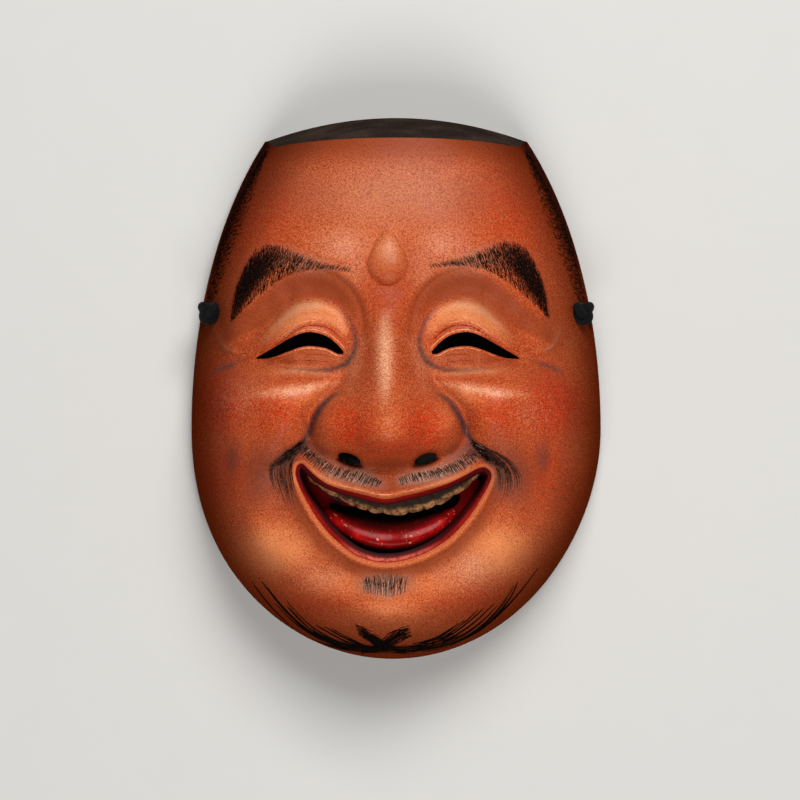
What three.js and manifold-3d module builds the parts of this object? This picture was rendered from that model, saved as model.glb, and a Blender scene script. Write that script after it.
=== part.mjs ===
// Kyogen theatre mask: a laughing face carved from one thin block of wood, with its two braided cords.
// It lies on its flat back rim. Millimetres, +Z out of the face, +Y to the crown, +X to the viewer's right.
// The face is a dome over the outline plus a thin bent sheet through carved levels, as a carver
// measures them: so far from the axis of the face, so far up, so high over the back.

import * as THREE from "three";
import { mergeVertices } from "three/addons/utils/BufferGeometryUtils.js";
import Module from "manifold-3d";

const wasm = await Module();
wasm.setup();

// driving dimensions of the outline
const HALF_WIDTH = 75.5; // from the middle to each side at the waist
const WAIST_Y = -15; // height of the widest place
const CHIN_REACH = 84.8; // from the waist down to the chin
const LEAN = { reach: 1.2, from: -15, to: -70 }; // the jaw of the outline leans a little to the left
const SIDE_REACH = 138; // from the waist up to where the sides would close
const TOP_Y = 99.8; // crown of the back rim
const TOP_ARC = 131; // radius of the crown of the rim
const BROW_EDGE_Y = 90.3; // front edge of the black top
const BROW_EDGE_ARC = 435;
const DOME_HEIGHT = 57;
const FACE_AXIS_X = -3; // the carved face leans a little to one side of its outline
const NOSE_ROOM = { half: 34, low: -32, high: 44 }; // the part of the plan that the nose can reach

// wall
const RIM_WIDTH = 9;
const HOLLOW_HEIGHT = 48;
const SLIT_CUT = [30, 90]; // heights between which a cut passes through the wall

// mouth
const MOUTH_FLOOR_Z = 47.5;
const TEETH_Z = 57.5;
const TEETH_BEND = 0.006; // how fast the row of teeth falls back to its sides
const TEETH_ROOT_Z = 44;
const TONGUE = { at: [-2, -53.6, 42.6], size: [21, 5.8, 12] };

// jewel on the forehead
const JEWEL = { at: [-3, 45], radius: 7.4, below: 8.2, above: 12.5, height: 4 };

// cords
const CORD_D = 4;
const CORD_HOLE_R = 3.2;
const HOLE_SIDES = 12;
const CORD_HOLE_AT = [66, 27, 24]; // on the outer face at the right temple
const CORD_HOLE_TILT = 25; // degrees that the hole points up from level
const KNOT_R = 3.9;
const COIL_CENTRE = [27, 51];
const COIL_TURN_RADII = [18, 22];
const COIL_LAYERS = 3;
const TURN_PITCH = 4.2;
const GAP = 0.3;
const END_KNOT_R = 3.2;
// from the knot through the hole and down to the surface that the mask lies on
const CORD_ROUTE = [
  [64.9, 27, 23.5], [61.8, 27, 22], [58.5, 27, 20], [55, 27.1, 16.6], [51.8, 27.3, 12.2],
  [49, 27.9, 7.8], [47.2, 29, 4.2], [46.2, 31.2, 2.3], [45.9, 32.2, 2.1],
];

// carved levels without the nose: [from the axis, up, over the back]
const FACE_LEVELS = [
  // forehead
  [0, 88, 47.5], [20, 87, 45.5], [36, 85, 40.5], [47, 82, 33.5],
  [0, 74, 51], [20, 73, 49.5], [36, 70, 45], [50, 66, 36],
  [0, 60, 53.5], [18, 60, 53], [34, 56, 50], [48, 52, 42.5], [59, 48, 31.5],
  [0, 48, 55], [12, 48, 55.5], [24, 50, 54.5], [0, 38, 56], [0, 30, 56],
  // brow ridge
  [9.5, 37.5, 56.2], [15, 43, 56.4], [24, 47, 55.7], [32, 47, 54.2],
  [40, 43.5, 51.5], [47, 37.5, 47.6], [53, 29, 43.3], [57.5, 20, 39.3],
  // foot of the ridge
  [13, 33.5, 54.6], [18.5, 37, 53.6], [26, 38.6, 52.4], [33, 37.6, 51.2],
  [40, 34, 48.9], [46, 28.5, 45.6], [51, 21.5, 42], [53.5, 14.5, 40.5],
  // hollow over the lid
  [10.5, 26, 54], [11.5, 18, 52.8], [15, 27, 52.4], [19, 31.5, 51.3],
  [27, 33.8, 50.2], [35, 32.2, 48.7], [42, 27.5, 46.2], [48, 20.5, 43],
  // crest of the upper lid
  [17, 21, 53.8], [21, 25, 54.4], [27, 27.6, 54.6], [33, 26.6, 53.6], [39, 22.8, 51], [44.5, 17.6, 47.3],
  // edges of both lids
  [15, 13.5, 53], [19, 17.8, 54.8], [25, 21, 56.4], [31, 21, 56.2], [37, 18, 53.8], [43, 14.2, 50],
  [49, 11, 45.5], [18, 11, 53], [23, 13.3, 54.6], [29, 13.8, 55], [35, 12, 53], [42, 9.8, 49.3],
  // crease under the eye
  [11, 11.5, 53.5], [15, 9, 52.6], [22, 7.9, 52.6], [29, 7.7, 52.4],
  [37, 8.4, 51], [45, 9.4, 47.8], [53, 8.8, 43.4], [60, 5.8, 38],
  // upper edge of the cheek
  [15, 5.5, 54.4], [20, 4.2, 57], [27, 3.4, 59.2], [35, 3.5, 59.6], [43, 4.4, 57.3], [51, 4.2, 52.2],
  [58, 1.4, 45.8], [22, 0.8, 58.6], [30, 0.2, 61.6], [38, 0, 62.6], [46, 0.2, 60], [54, -1, 53.4],
  [61, -4, 45.5],
  // cheek
  [27, -3.5, 62], [34, -4, 64], [42, -5, 63.6], [50, -6.5, 58.8], [58, -9, 50.8], [65, -12, 40.5],
  [32, -12, 62.6], [39, -14, 63.8], [47, -16, 60.5], [55, -19, 53.2], [62, -22, 44],
  [35, -20, 61], [41, -24, 60.2], [48, -28, 56.8], [55, -32, 50.4], [62, -34, 42],
  // fold from the nose round the mouth
  [17, 0.5, 54.8], [21, -3.4, 56], [25.3, -8, 57], [28, -14, 57.8], [30.5, -20, 58.6], [34.5, -24.6, 58.4],
  [39.5, -28.6, 57.2], [44.5, -32.6, 55], [48, -39, 52.8], [49, -47, 51.2],
  // upper lip
  [0, -30, 64.5], [10, -30, 64.2], [20, -28.5, 62.8], [28, -26.5, 60.8], [0, -36, 66.6],
  [12, -35.5, 65.8], [22, -32.5, 63.6], [30, -29, 60.6], [35, -28.8, 58.2],
  [0, -46, 65.5], [20, -42, 62.5], [0, -56, 62.8], [16, -52, 61.8],
  // lower lip and the groove round it
  [38, -34, 55.6], [36, -40, 56], [30.5, -48, 57.8], [23, -56.5, 59.6], [12, -62.5, 61], [0, -64.5, 61.4],
  [40.5, -41, 54.2], [34, -51, 55.4], [25.5, -60, 57], [13, -66.5, 58.2], [0, -69, 58.4],
  // jaw and chin
  [45, -47, 52.8], [43, -52.5, 52.8], [36, -61, 54], [27, -69, 54.4], [17, -74.5, 56.4], [8, -77, 58.8],
  [0, -78, 59.4], [54, -46, 46], [55, -58, 40], [48, -64, 42], [39, -72.5, 43.5], [28, -79.5, 45.5],
  [17, -84, 48], [8, -87, 50.5], [0, -88, 51], [48, -76, 28], [34, -86, 29], [18, -93, 30], [0, -95, 32],
  // sides
  [61, 30, 33], [66, 12, 28], [68.5, -4, 29.5], [69.5, -26, 27], [67, -44, 25.5], [60, -62, 25],
];

// carved levels of the nose and its steep sides
const NOSE_LEVELS = [
  [0, 36, 53], [0, 30, 55.6], [0, 22, 60.4], [0, 14, 66], [0, 6, 71.2], [0, -2, 76.6],
  [0, -8, 80.8], [0, -13, 83.4], [0, -18, 82.8], [0, -22.5, 79.3], [0, -25.5, 74], [0, -28, 66],
  [4, 30, 55], [4, 22, 59.2], [4, 14, 64.6], [4, 6, 69.6], [5, -2, 74.6],
  [6, -8, 78.6], [7, -13, 80.6], [7, -18, 79.8], [7, -22.5, 75.8], [7, -26, 69],
  [9, 30, 51], [8, 22, 54.6], [8, 14, 58.6], [9, 6, 63.2], [10.5, -2, 69.2],
  [12, -8, 73.6], [13, -13, 75], [13, -18.5, 73.8], [13.5, -23, 70], [13.5, -26.5, 63],
  [12.5, 22, 49], [13, 14, 52], [14, 6, 56.5], [16, -1, 62.4],
  [18, -6.5, 68.8], [19.5, -12, 71.2], [19.5, -18, 70], [19, -22.6, 66], [18, -26, 60],
  [19, 5, 47], [21, -1, 55.5], [24, -6, 62.5], [25.6, -12, 65.2], [25, -18, 63.6], [23, -23.2, 60],
  [26, 2, 40], [29, -4, 48], [30.5, -12, 51], [29.5, -20, 50], [25.5, -26.5, 49], [16, -30, 52],
  [0, -32, 56], [16, 26, 42], [20, 14, 38], [34, -10, 40], [30, -28, 40],
];

// outlines of the openings: the eye from the axis of the face, the mouth in the plan of the mask
const EYE_TOP = [
  [15.7, 13], [18, 15.6], [21.5, 18.4], [26, 19.9], [30, 19.9], [35, 18], [41, 14.6], [47.4, 11],
];
const EYE_LOW = [[47.4, 10.4], [42, 10.9], [36, 13], [31, 14.7], [27, 15], [22, 14.2], [18, 12.3]];
const LIPS = [
  [-33, -29.2], [-30.5, -31.4], [-24, -36], [-18, -38], [-11, -39.6], [-4, -41], [3, -39.8], [10, -38.2],
  [18, -36], [24, -33.4], [29, -30.8], [32, -30.5], [32.2, -33], [30, -38], [25.4, -45.4], [18.8, -52.2],
  [11, -57.2], [3.6, -60], [-3, -60.9], [-8.6, -60.4], [-15, -57.8], [-22.6, -51.6], [-28.2, -44.4],
  [-32.2, -37], [-33.8, -31.6],
];
const TEETH = [
  [-34, -30], [-28, -31], [-24, -34], [-11, -37.6], [-4, -39], [3, -37.8], [10, -36.3], [24, -31.4],
  [30, -29], [31, -31.4], [25, -36.2], [15, -41.5], [5, -44.6], [-2, -45.2], [-10, -44.2], [-20, -40.2],
  [-28, -35],
];
const THROAT = [
  [-22, -41.8], [-10, -45.2], [-2, -46.2], [6, -45.6], [15, -42.6], [21, -39.8], [20, -43.4], [12, -47.4],
  [4, -49.2], [-3, -49.6], [-10, -48.8], [-18, -45.6],
];
const NOSTRIL = { from_axis: 13.7, y: -25.4, half_width: 4.4, half_height: 2, turn: 20 };

const radians = (degrees) => (degrees * Math.PI) / 180;

/** 0 below lo, 1 above hi, smooth between. */
function step(lo, hi, value) {
  const t = Math.min(Math.max((value - lo) / (hi - lo), 0), 1);
  return t * t * (3 - 2 * t);
}

/** The higher of two surfaces, blended where they cross. */
function topOf(a, b, soft) {
  return 0.5 * (a + b + Math.sqrt((a - b) ** 2 + soft * soft));
}

/** A round swelling of height 1 about a point. */
function swelling(u, v, at, reach) {
  return Math.exp(-(((u - at[0]) / reach[0]) ** 2) - ((v - at[1]) / reach[1]) ** 2);
}

/** Solve a square set of linear equations by elimination; rows hold the right side last. */
function solve(rows) {
  const n = rows.length;
  for (let i = 0; i < n; i++) {
    let best = i;
    for (let r = i + 1; r < n; r++) {
      if (Math.abs(rows[r][i]) > Math.abs(rows[best][i])) best = r;
    }
    [rows[i], rows[best]] = [rows[best], rows[i]];
    for (let r = i + 1; r < n; r++) {
      const share = rows[r][i] / rows[i][i];
      for (let c = i; c <= n; c++) rows[r][c] -= share * rows[i][c];
    }
  }
  const answer = new Array(n).fill(0);
  for (let i = n - 1; i >= 0; i--) {
    let rest = rows[i][n];
    for (let c = i + 1; c < n; c++) rest -= rows[i][c] * answer[c];
    answer[i] = rest / rows[i][i];
  }
  return answer;
}

/** A thin bent sheet through levels, the same on both sides of the axis, measured over a ground surface. */
function bentSheet(levels, ground) {
  const unit = 100;
  const bend = (du, dv) => {
    const r2 = (du * du + dv * dv) / unit ** 2;
    return 0.5 * r2 * Math.log(r2 + 1e-12);
  };
  const points = [];
  for (const [u, v, z] of levels) {
    points.push([u, v, z - ground(u, v)]);
    if (u > 0) points.push([-u, v, z - ground(u, v)]);
  }
  const n = points.length;
  const rows = points.map(([u, v, z]) => [...points.map((p) => bend(u - p[0], v - p[1])), 1, u, v, z]);
  rows.push([...new Array(n).fill(1), 0, 0, 0, 0]);
  rows.push([...points.map((p) => p[0]), 0, 0, 0, 0]);
  rows.push([...points.map((p) => p[1]), 0, 0, 0, 0]);
  const weight = solve(rows);
  return (u, v) => {
    let z = weight[n] + weight[n + 1] * u + weight[n + 2] * v;
    for (let i = 0; i < n; i++) z += weight[i] * bend(u - points[i][0], v - points[i][1]);
    return z;
  };
}

/** Plan outline of a shell: an ellipse below the waist, a longer one above it, cut by the front top edge. */
const OUTER_PLAN = {
  half: HALF_WIDTH, chin: CHIN_REACH, side: SIDE_REACH, top: TOP_Y, topArc: TOP_ARC,
  edge: BROW_EDGE_Y, edgeArc: BROW_EDGE_ARC,
};
const INNER_PLAN = {
  half: HALF_WIDTH - RIM_WIDTH, chin: CHIN_REACH - RIM_WIDTH, side: SIDE_REACH - RIM_WIDTH,
  top: TOP_Y - RIM_WIDTH, topArc: TOP_ARC - RIM_WIDTH, edge: BROW_EDGE_Y - RIM_WIDTH, edgeArc: BROW_EDGE_ARC,
};

/** How far to the side the middle of the outline lies at a height. */
function lean(y) {
  return -LEAN.reach * step(LEAN.from, LEAN.to, y);
}

/** 0 at the waist of a plan, 1 on its outline. */
function gauge(plan, x, y) {
  return Math.hypot((x - lean(y)) / plan.half, (y - WAIST_Y) / (y > WAIST_Y ? plan.side : plan.chin));
}

/** Rounded ground form of the face over the outline. */
function dome(x, y) {
  const fullness = 2.5 + 1.6 * step(0, 0.75, (WAIST_Y - y) / CHIN_REACH);
  return DOME_HEIGHT * Math.sqrt(Math.max(1 - gauge(OUTER_PLAN, x, y) ** fullness, 0));
}

const faceSheet = bentSheet(FACE_LEVELS, dome);
const noseSheet = bentSheet(NOSE_LEVELS, () => 0);

/** Height of the carved front over the back plane. */
function front(x, y) {
  const u = x - FACE_AXIS_X;
  const inside = step(1, 0.78, gauge(OUTER_PLAN, x, y));
  const ground = dome(x, y) + inside * faceSheet(u, y);
  if (Math.abs(u) > NOSE_ROOM.half || y > NOSE_ROOM.high || y < NOSE_ROOM.low) return ground;
  // the nose sinks into the brow above, is blended softly at its root and more sharply at the wings
  const sunk = 10 * step(NOSE_ROOM.high - 14, NOSE_ROOM.high, y);
  const soft = 1.8 + 5 * step(-2, 12, y) - 2 * step(16, 28, y) - 4 * step(32, NOSE_ROOM.high, y);
  return topOf(ground, noseSheet(u, y) - sunk, soft);
}

/** Height of the hollow: a plainer dome with room for the cheeks and the nose, shallow behind the mouth. */
function hollow(x, y) {
  const u = Math.abs(x - FACE_AXIS_X);
  const shell = HOLLOW_HEIGHT * Math.sqrt(Math.max(1 - gauge(INNER_PLAN, x, y) ** 3.2, 0));
  const cheek = 6 * swelling(u, y, [38, -8], [17, 16]);
  const nose = 13 * swelling(u, y, [0, -6], [12, 17]);
  const mouth = -7 * swelling(u, y, [0, -47], [34, 13]);
  return shell + (cheek + nose + mouth) * step(1, 0.8, gauge(INNER_PLAN, x, y));
}

/** A closed solid: a grid over the plan, the steep top behind its front edge, and a flat back. */
function shellSolid(plan, height, columns, rows, topRows) {
  const chinAngle = radians(42);
  const cornerAngle = Math.PI - Math.asin(cornerX(plan) / plan.half);
  const onSide = (angle) => {
    const reach = angle < Math.PI / 2 ? plan.chin : plan.side;
    return [plan.half * Math.sin(angle), WAIST_Y - reach * Math.cos(angle)];
  };
  const corner = onSide(cornerAngle);
  const onEdge = (x) => {
    const arc = plan.edge - (x * x) / (2 * plan.edgeArc);
    const blend = step(corner[0] - 5, corner[0], Math.abs(x));
    return arc + (corner[1] - arc) * blend;
  };
  const bottom = (s) => {
    const [x, y] = onSide(chinAngle * Math.abs(2 * s - 1));
    return [Math.sign(s - 0.5) * x, y];
  };
  const side = (t) => onSide(chinAngle + (cornerAngle - chinAngle) * t);
  const low = bottom(1);
  // a patch between the four curves
  const planPoint = (s, t) => {
    const across = 2 * s - 1;
    const [sx, sy] = side(t);
    const [bx, by] = bottom(s);
    const tx = across * corner[0];
    const x = (1 - t) * bx + t * tx + across * sx - across * ((1 - t) * low[0] + t * corner[0]);
    const y = (1 - t) * by + t * onEdge(tx) + sy - ((1 - t) * low[1] + t * corner[1]);
    return [x + lean(y), y];
  };
  const spread = (i, n) => 0.62 * (i / n) + 0.38 * (0.5 - 0.5 * Math.cos((Math.PI * i) / n));
  const climb = (j, n) => 0.8 * (j / n) + 0.2 * (0.5 - 0.5 * Math.cos((Math.PI * j) / n));
  const points = [];
  const grid = [];
  for (let j = 0; j <= rows + topRows; j++) {
    const line = [];
    for (let i = 0; i <= columns; i++) {
      const s = spread(i, columns);
      const onRim = i === 0 || i === columns || j === 0;
      const [x, y] = planPoint(s, climb(Math.min(j, rows), rows));
      const z = onRim ? 0 : Math.max(height(x, y), 0.5);
      const down = Math.max(j - rows, 0) / topRows;
      const rimY = Math.abs(x) < corner[0] - 0.01 ? plan.top - (x * x) / (2 * plan.topArc) : corner[1];
      const bulge = 0.6 * Math.sin(Math.PI * down) * (z / DOME_HEIGHT);
      line.push(points.length);
      points.push([x, y + (rimY - y) * down + bulge, z * (1 - down)]);
    }
    grid.push(line);
  }
  const faces = [];
  for (let j = 0; j < rows + topRows; j++) {
    for (let i = 0; i < columns; i++) {
      const [a, b] = [grid[j][i], grid[j][i + 1]];
      const [d, c] = [grid[j + 1][i], grid[j + 1][i + 1]];
      // split each cell along its flatter diagonal
      const flatter = Math.abs(points[a][2] - points[c][2]) < Math.abs(points[b][2] - points[d][2]);
      if (flatter) faces.push([a, b, c], [a, c, d]);
      else faces.push([a, b, d], [b, c, d]);
    }
  }
  const rim = [...grid[0]];
  for (let j = 1; j <= rows; j++) rim.push(grid[j][columns]);
  rim.push(...grid[rows + topRows].slice(1, columns).reverse());
  for (let j = rows; j > 0; j--) rim.push(grid[j][0]);
  const flat = rim.map((k) => new THREE.Vector2(points[k][0], points[k][1]));
  for (const [a, b, c] of THREE.ShapeUtils.triangulateShape(flat, [])) faces.push([rim[a], rim[c], rim[b]]);
  return solidOf(meshOf(points, faces));
}

/** Where the crown of the rim meets the side of a plan. */
function cornerX(plan) {
  let inside = 0;
  let outside = plan.half;
  for (let k = 0; k < 50; k++) {
    const x = (inside + outside) / 2;
    if (gauge(plan, x, plan.top - (x * x) / (2 * plan.topArc)) < 1) inside = x;
    else outside = x;
  }
  return inside;
}

function meshOf(points, faces) {
  const geometry = new THREE.BufferGeometry();
  geometry.setAttribute("position", new THREE.Float32BufferAttribute(points.flat(), 3));
  geometry.setIndex(faces.flat());
  return geometry;
}

/** A solid for joining and cutting, from a closed geometry. */
function solidOf(geometry) {
  const plain = geometry.clone();
  plain.deleteAttribute("normal");
  plain.deleteAttribute("uv");
  const merged = mergeVertices(plain, 1e-4);
  const index = merged.index.array;
  const kept = [];
  for (let k = 0; k < index.length; k += 3) {
    const [a, b, c] = index.slice(k, k + 3);
    if (a !== b && b !== c && c !== a) kept.push(a, b, c);
  }
  return new wasm.Manifold(
    new wasm.Mesh({
      numProp: 3,
      vertProperties: new Float32Array(merged.attributes.position.array),
      triVerts: new Uint32Array(kept),
    })
  );
}

function geometryOf(solid) {
  const mesh = solid.getMesh();
  const geometry = new THREE.BufferGeometry();
  geometry.setAttribute("position", new THREE.Float32BufferAttribute(mesh.vertProperties, 3));
  geometry.setIndex(Array.from(mesh.triVerts));
  return geometry;
}

/** An outline in the plan, extruded between two heights. */
function prism(outline, [from, to]) {
  const shape = new THREE.Shape(outline.map(([x, y]) => new THREE.Vector2(x, y)));
  const geometry = new THREE.ExtrudeGeometry(shape, { depth: to - from, bevelEnabled: false, steps: 1 });
  return geometry.translate(0, 0, from);
}

function eyeSlit(side) {
  const outline = [...EYE_TOP, ...EYE_LOW].map(([u, y]) => [FACE_AXIS_X + side * u, y]);
  return solidOf(prism(side > 0 ? outline.reverse() : outline, SLIT_CUT));
}

function nostril(side) {
  const bore = new THREE.CylinderGeometry(1, 1, SLIT_CUT[1] - SLIT_CUT[0], 12);
  bore.rotateX(Math.PI / 2);
  bore.scale(NOSTRIL.half_width, NOSTRIL.half_height, 1);
  bore.rotateZ(radians(side * NOSTRIL.turn));
  bore.translate(FACE_AXIS_X + side * NOSTRIL.from_axis, NOSTRIL.y, (SLIT_CUT[0] + SLIT_CUT[1]) / 2);
  return solidOf(bore);
}

function cordHole(side) {
  const bore = new THREE.CylinderGeometry(CORD_HOLE_R, CORD_HOLE_R, 40, HOLE_SIDES);
  bore.rotateZ(Math.PI / 2);
  bore.rotateY(-radians(CORD_HOLE_TILT));
  const [x, y, z] = CORD_HOLE_AT;
  bore.translate(x, y, z);
  if (side < 0) bore.rotateZ(Math.PI).translate(0, 2 * y, 0);
  return solidOf(bore);
}

/** The row of upper teeth in one piece, bent back to its sides. */
function teeth() {
  const row = prism(TEETH, [TEETH_ROOT_Z, TEETH_Z]);
  const position = row.attributes.position;
  for (let k = 0; k < position.count; k++) {
    const back = TEETH_BEND * (position.getX(k) - FACE_AXIS_X) ** 2;
    if (position.getZ(k) > TEETH_Z - 1) position.setZ(k, TEETH_Z - back);
  }
  return solidOf(row);
}

function tongue() {
  const ball = new THREE.SphereGeometry(1, 20, 12);
  ball.scale(...TONGUE.size);
  ball.translate(...TONGUE.at);
  return solidOf(ball);
}

/** A drop with its point up, standing out of the forehead. */
function jewel() {
  const ball = new THREE.SphereGeometry(1, 20, 14);
  const position = ball.attributes.position;
  const [x, y] = JEWEL.at;
  const ground = front(x, y) - 1;
  for (let k = 0; k < position.count; k++) {
    const up = position.getY(k);
    const taper = up > 0 ? 1 - 0.45 * up * up : 1;
    position.setX(k, x + position.getX(k) * JEWEL.radius * taper);
    position.setY(k, y + up * (up > 0 ? JEWEL.above : JEWEL.below));
    position.setZ(k, ground + position.getZ(k) * (JEWEL.height + 1) * taper);
  }
  return solidOf(ball);
}

function mask() {
  let wood = shellSolid(OUTER_PLAN, front, 48, 60, 4).add(jewel());
  wood = wood.subtract(solidOf(prism(LIPS, [MOUTH_FLOOR_Z, SLIT_CUT[1]])));
  wood = wood.add(teeth()).add(tongue());
  wood = wood.subtract(shellSolid(INNER_PLAN, hollow, 20, 24, 2));
  wood = wood.subtract(solidOf(prism(THROAT, SLIT_CUT)));
  for (const side of [-1, 1]) {
    wood = wood.subtract(eyeSlit(side)).subtract(nostril(side)).subtract(cordHole(side));
  }
  return geometryOf(wood);
}

/** Turn right-hand points into those of one side. */
const onSideOf = (side, [x, y, z]) => new THREE.Vector3(side * x, y, z);

/** The stretch of cord that isn't coiled, as a plain tube of 8 sides. */
function cordTube(side) {
  const route = new THREE.CatmullRomCurve3(CORD_ROUTE.map((p) => onSideOf(side, p)));
  const section = new THREE.Shape();
  for (let k = 0; k < 8; k++) {
    const angle = (k * Math.PI) / 4;
    const point = [(CORD_D / 2) * Math.cos(angle), (CORD_D / 2) * Math.sin(angle)];
    if (k === 0) section.moveTo(...point);
    else section.lineTo(...point);
  }
  return new THREE.ExtrudeGeometry(section, { steps: 14, bevelEnabled: false, extrudePath: route });
}

/** The room that the coil fills, a closed ring on the surface that the mask lies on. */
function cordCoil(side) {
  const inner = COIL_TURN_RADII[0] - TURN_PITCH / 2;
  const outer = COIL_TURN_RADII[1] + TURN_PITCH / 2;
  const top = COIL_LAYERS * TURN_PITCH;
  const profile = [[inner, 0], [outer, 0], [outer, top], [inner, top], [inner, 0]];
  const ring = new THREE.LatheGeometry(profile.map(([r, z]) => new THREE.Vector2(r, z)), 28);
  ring.rotateX(Math.PI / 2);
  ring.translate(side * COIL_CENTRE[0], COIL_CENTRE[1], 0);
  return ring;
}

/** Centre of the knot that stops the cord outside its hole, seated in the mouth of the hole. */
function knotCentre(side) {
  const mouthR = CORD_HOLE_R * Math.cos(Math.PI / HOLE_SIDES);
  const out = Math.sqrt(KNOT_R ** 2 - mouthR ** 2) + 2 * GAP;
  const tilt = radians(CORD_HOLE_TILT);
  const [x, y, z] = CORD_HOLE_AT;
  return onSideOf(side, [x + out * Math.cos(tilt), y, z + out * Math.sin(tilt)]);
}

function piece(name, geometry, material) {
  const mesh = new THREE.Mesh(geometry, material);
  mesh.name = name;
  return mesh;
}

const lacquer = new THREE.MeshStandardMaterial({ color: 0xb5613a, roughness: 0.5, metalness: 0 });
const braid = new THREE.MeshStandardMaterial({ color: 0x0d0c0c, roughness: 0.9, metalness: 0 });

const object = new THREE.Group();
object.add(piece("mask", mask(), lacquer));
for (const [word, side] of [["left", -1], ["right", 1]]) {
  object.add(piece(`${word}_cord`, cordTube(side), braid));
  object.add(piece(`${word}_cord_coil`, cordCoil(side), braid));
  const knot = piece(`${word}_cord_knot`, new THREE.SphereGeometry(KNOT_R, 14, 9), braid);
  knot.position.copy(knotCentre(side));
  object.add(knot);
  const end = piece(`${word}_cord_end`, new THREE.SphereGeometry(END_KNOT_R, 12, 8), braid);
  const inCoil = COIL_TURN_RADII[0] - TURN_PITCH / 2 - END_KNOT_R - 2 * GAP;
  end.position.set(side * COIL_CENTRE[0], COIL_CENTRE[1] + inCoil, END_KNOT_R);
  object.add(end);
}

export default object;
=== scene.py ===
# %% [markdown]
# # A laughing kyogen mask
#
# The mask is carved from one block of light wood, ground with shell white, painted in layers of
# warm skin colour and finished with single brush strokes for the hair. It lies on its flat back rim
# with its face up, and a braided cord that ties it on is put away, coiled, in its hollow.
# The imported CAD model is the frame: it gives the place and the size of everything below.

# %% Load the frame
import math

import bpy
import numpy as np
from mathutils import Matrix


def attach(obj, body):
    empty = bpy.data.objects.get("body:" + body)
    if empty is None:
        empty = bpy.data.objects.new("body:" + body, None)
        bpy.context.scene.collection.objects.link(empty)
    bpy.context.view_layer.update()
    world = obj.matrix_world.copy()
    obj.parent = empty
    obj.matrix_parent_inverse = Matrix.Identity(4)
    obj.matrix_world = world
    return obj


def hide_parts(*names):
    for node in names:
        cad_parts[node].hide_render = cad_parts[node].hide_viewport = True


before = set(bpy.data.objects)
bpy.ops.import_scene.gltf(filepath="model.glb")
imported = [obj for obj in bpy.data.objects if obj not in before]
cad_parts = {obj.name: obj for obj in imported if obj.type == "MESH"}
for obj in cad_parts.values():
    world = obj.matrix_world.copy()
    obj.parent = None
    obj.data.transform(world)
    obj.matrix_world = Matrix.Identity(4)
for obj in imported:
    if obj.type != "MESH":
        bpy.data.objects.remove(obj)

MM = 0.001
bpy.context.view_layer.update()

# %% [markdown]
# ## The camera
#
# The photograph is taken square to the face, from far enough away that the cheeks hide nothing.
# The mask lies on its back here, so the camera hangs above it and looks straight down, with the
# crown at the top of the picture. A long lens from two metres gives the same flat view.

# %% Camera
CAMERA_HEIGHT = 2.0
PIXELS_WIDE = 800
SENSOR_WIDTH = 36
PIXEL_SIZE = 0.36 * MM       # of one pixel of the photograph, at half the depth of the face
HALF_DEPTH = 50 * MM
CAMERA_AIM = (1.44 * MM, -4.32 * MM)

camera_data = bpy.data.cameras.new("camera")
camera = bpy.data.objects.new("camera", camera_data)
bpy.context.scene.collection.objects.link(camera)
camera.location = (*CAMERA_AIM, CAMERA_HEIGHT)
camera_data.sensor_width = SENSOR_WIDTH
camera_data.lens = SENSOR_WIDTH * (CAMERA_HEIGHT - HALF_DEPTH) / (PIXELS_WIDE * PIXEL_SIZE)
bpy.context.scene.camera = camera
print("lens", round(camera_data.lens, 1))


# %% [markdown]
# ## Helpers for modelling
#
# Every piece starts as a primitive. A few short helpers keep the operator calls readable: one clears
# the selection before a primitive is added, one hands the vertices over as a numpy array so that
# many points can be pushed at once, as with a sculpting brush, and one applies a modifier.

# %% Helpers for modelling
def start_fresh():
    """Nothing selected, object mode."""
    if bpy.context.object and bpy.context.object.mode != "OBJECT":
        bpy.ops.object.mode_set(mode="OBJECT")
    bpy.ops.object.select_all(action="DESELECT")


def pick(piece):
    """Only this piece selected, and active."""
    start_fresh()
    piece.select_set(True)
    bpy.context.view_layer.objects.active = piece


def named(name):
    """The new primitive under its piece's name."""
    piece = bpy.context.object
    piece.name = name
    piece.data.name = name
    return piece


def points_of(piece):
    flat = np.empty(len(piece.data.vertices) * 3)
    piece.data.vertices.foreach_get("co", flat)
    return flat.reshape(-1, 3)


def push_points(piece, points):
    piece.data.vertices.foreach_set("co", np.asarray(points, float).ravel())
    piece.data.update()


def edit(piece, *steps):
    """Runs operator calls in edit mode on the whole piece."""
    pick(piece)
    bpy.ops.object.mode_set(mode="EDIT")
    bpy.ops.mesh.select_all(action="SELECT")
    for step_call in steps:
        step_call()
    bpy.ops.object.mode_set(mode="OBJECT")


def apply_modifiers(piece):
    pick(piece)
    for modifier in list(piece.modifiers):
        bpy.ops.object.modifier_apply(modifier=modifier.name)


def smooth_shade(piece, sharp_from):
    """Smooth, but for edges sharper than an angle in degrees."""
    pick(piece)
    bpy.ops.object.shade_smooth_by_angle(angle=math.radians(sharp_from))


def outward_normals():
    bpy.ops.mesh.normals_make_consistent(inside=False)


def weld_and_close(piece, apart, close_ends):
    """Welds a grid where it meets itself and closes what is still open."""
    edit(
        piece,
        lambda: bpy.ops.mesh.remove_doubles(threshold=apart),
        lambda: bpy.ops.mesh.select_all(action="DESELECT"),
        lambda: bpy.ops.mesh.select_non_manifold(),
        close_ends,
        lambda: bpy.ops.mesh.select_all(action="SELECT"),
        outward_normals,
    )


def flat_grid(name, columns, rows):
    """A grid from 0 to 1 both ways, ready to be laid over a surface, and its two coordinates."""
    start_fresh()
    bpy.ops.mesh.primitive_grid_add(x_subdivisions=columns, y_subdivisions=rows, size=1)
    sheet = named(name)
    places = points_of(sheet) + 0.5
    return sheet, places[:, 0], places[:, 1]


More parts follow.
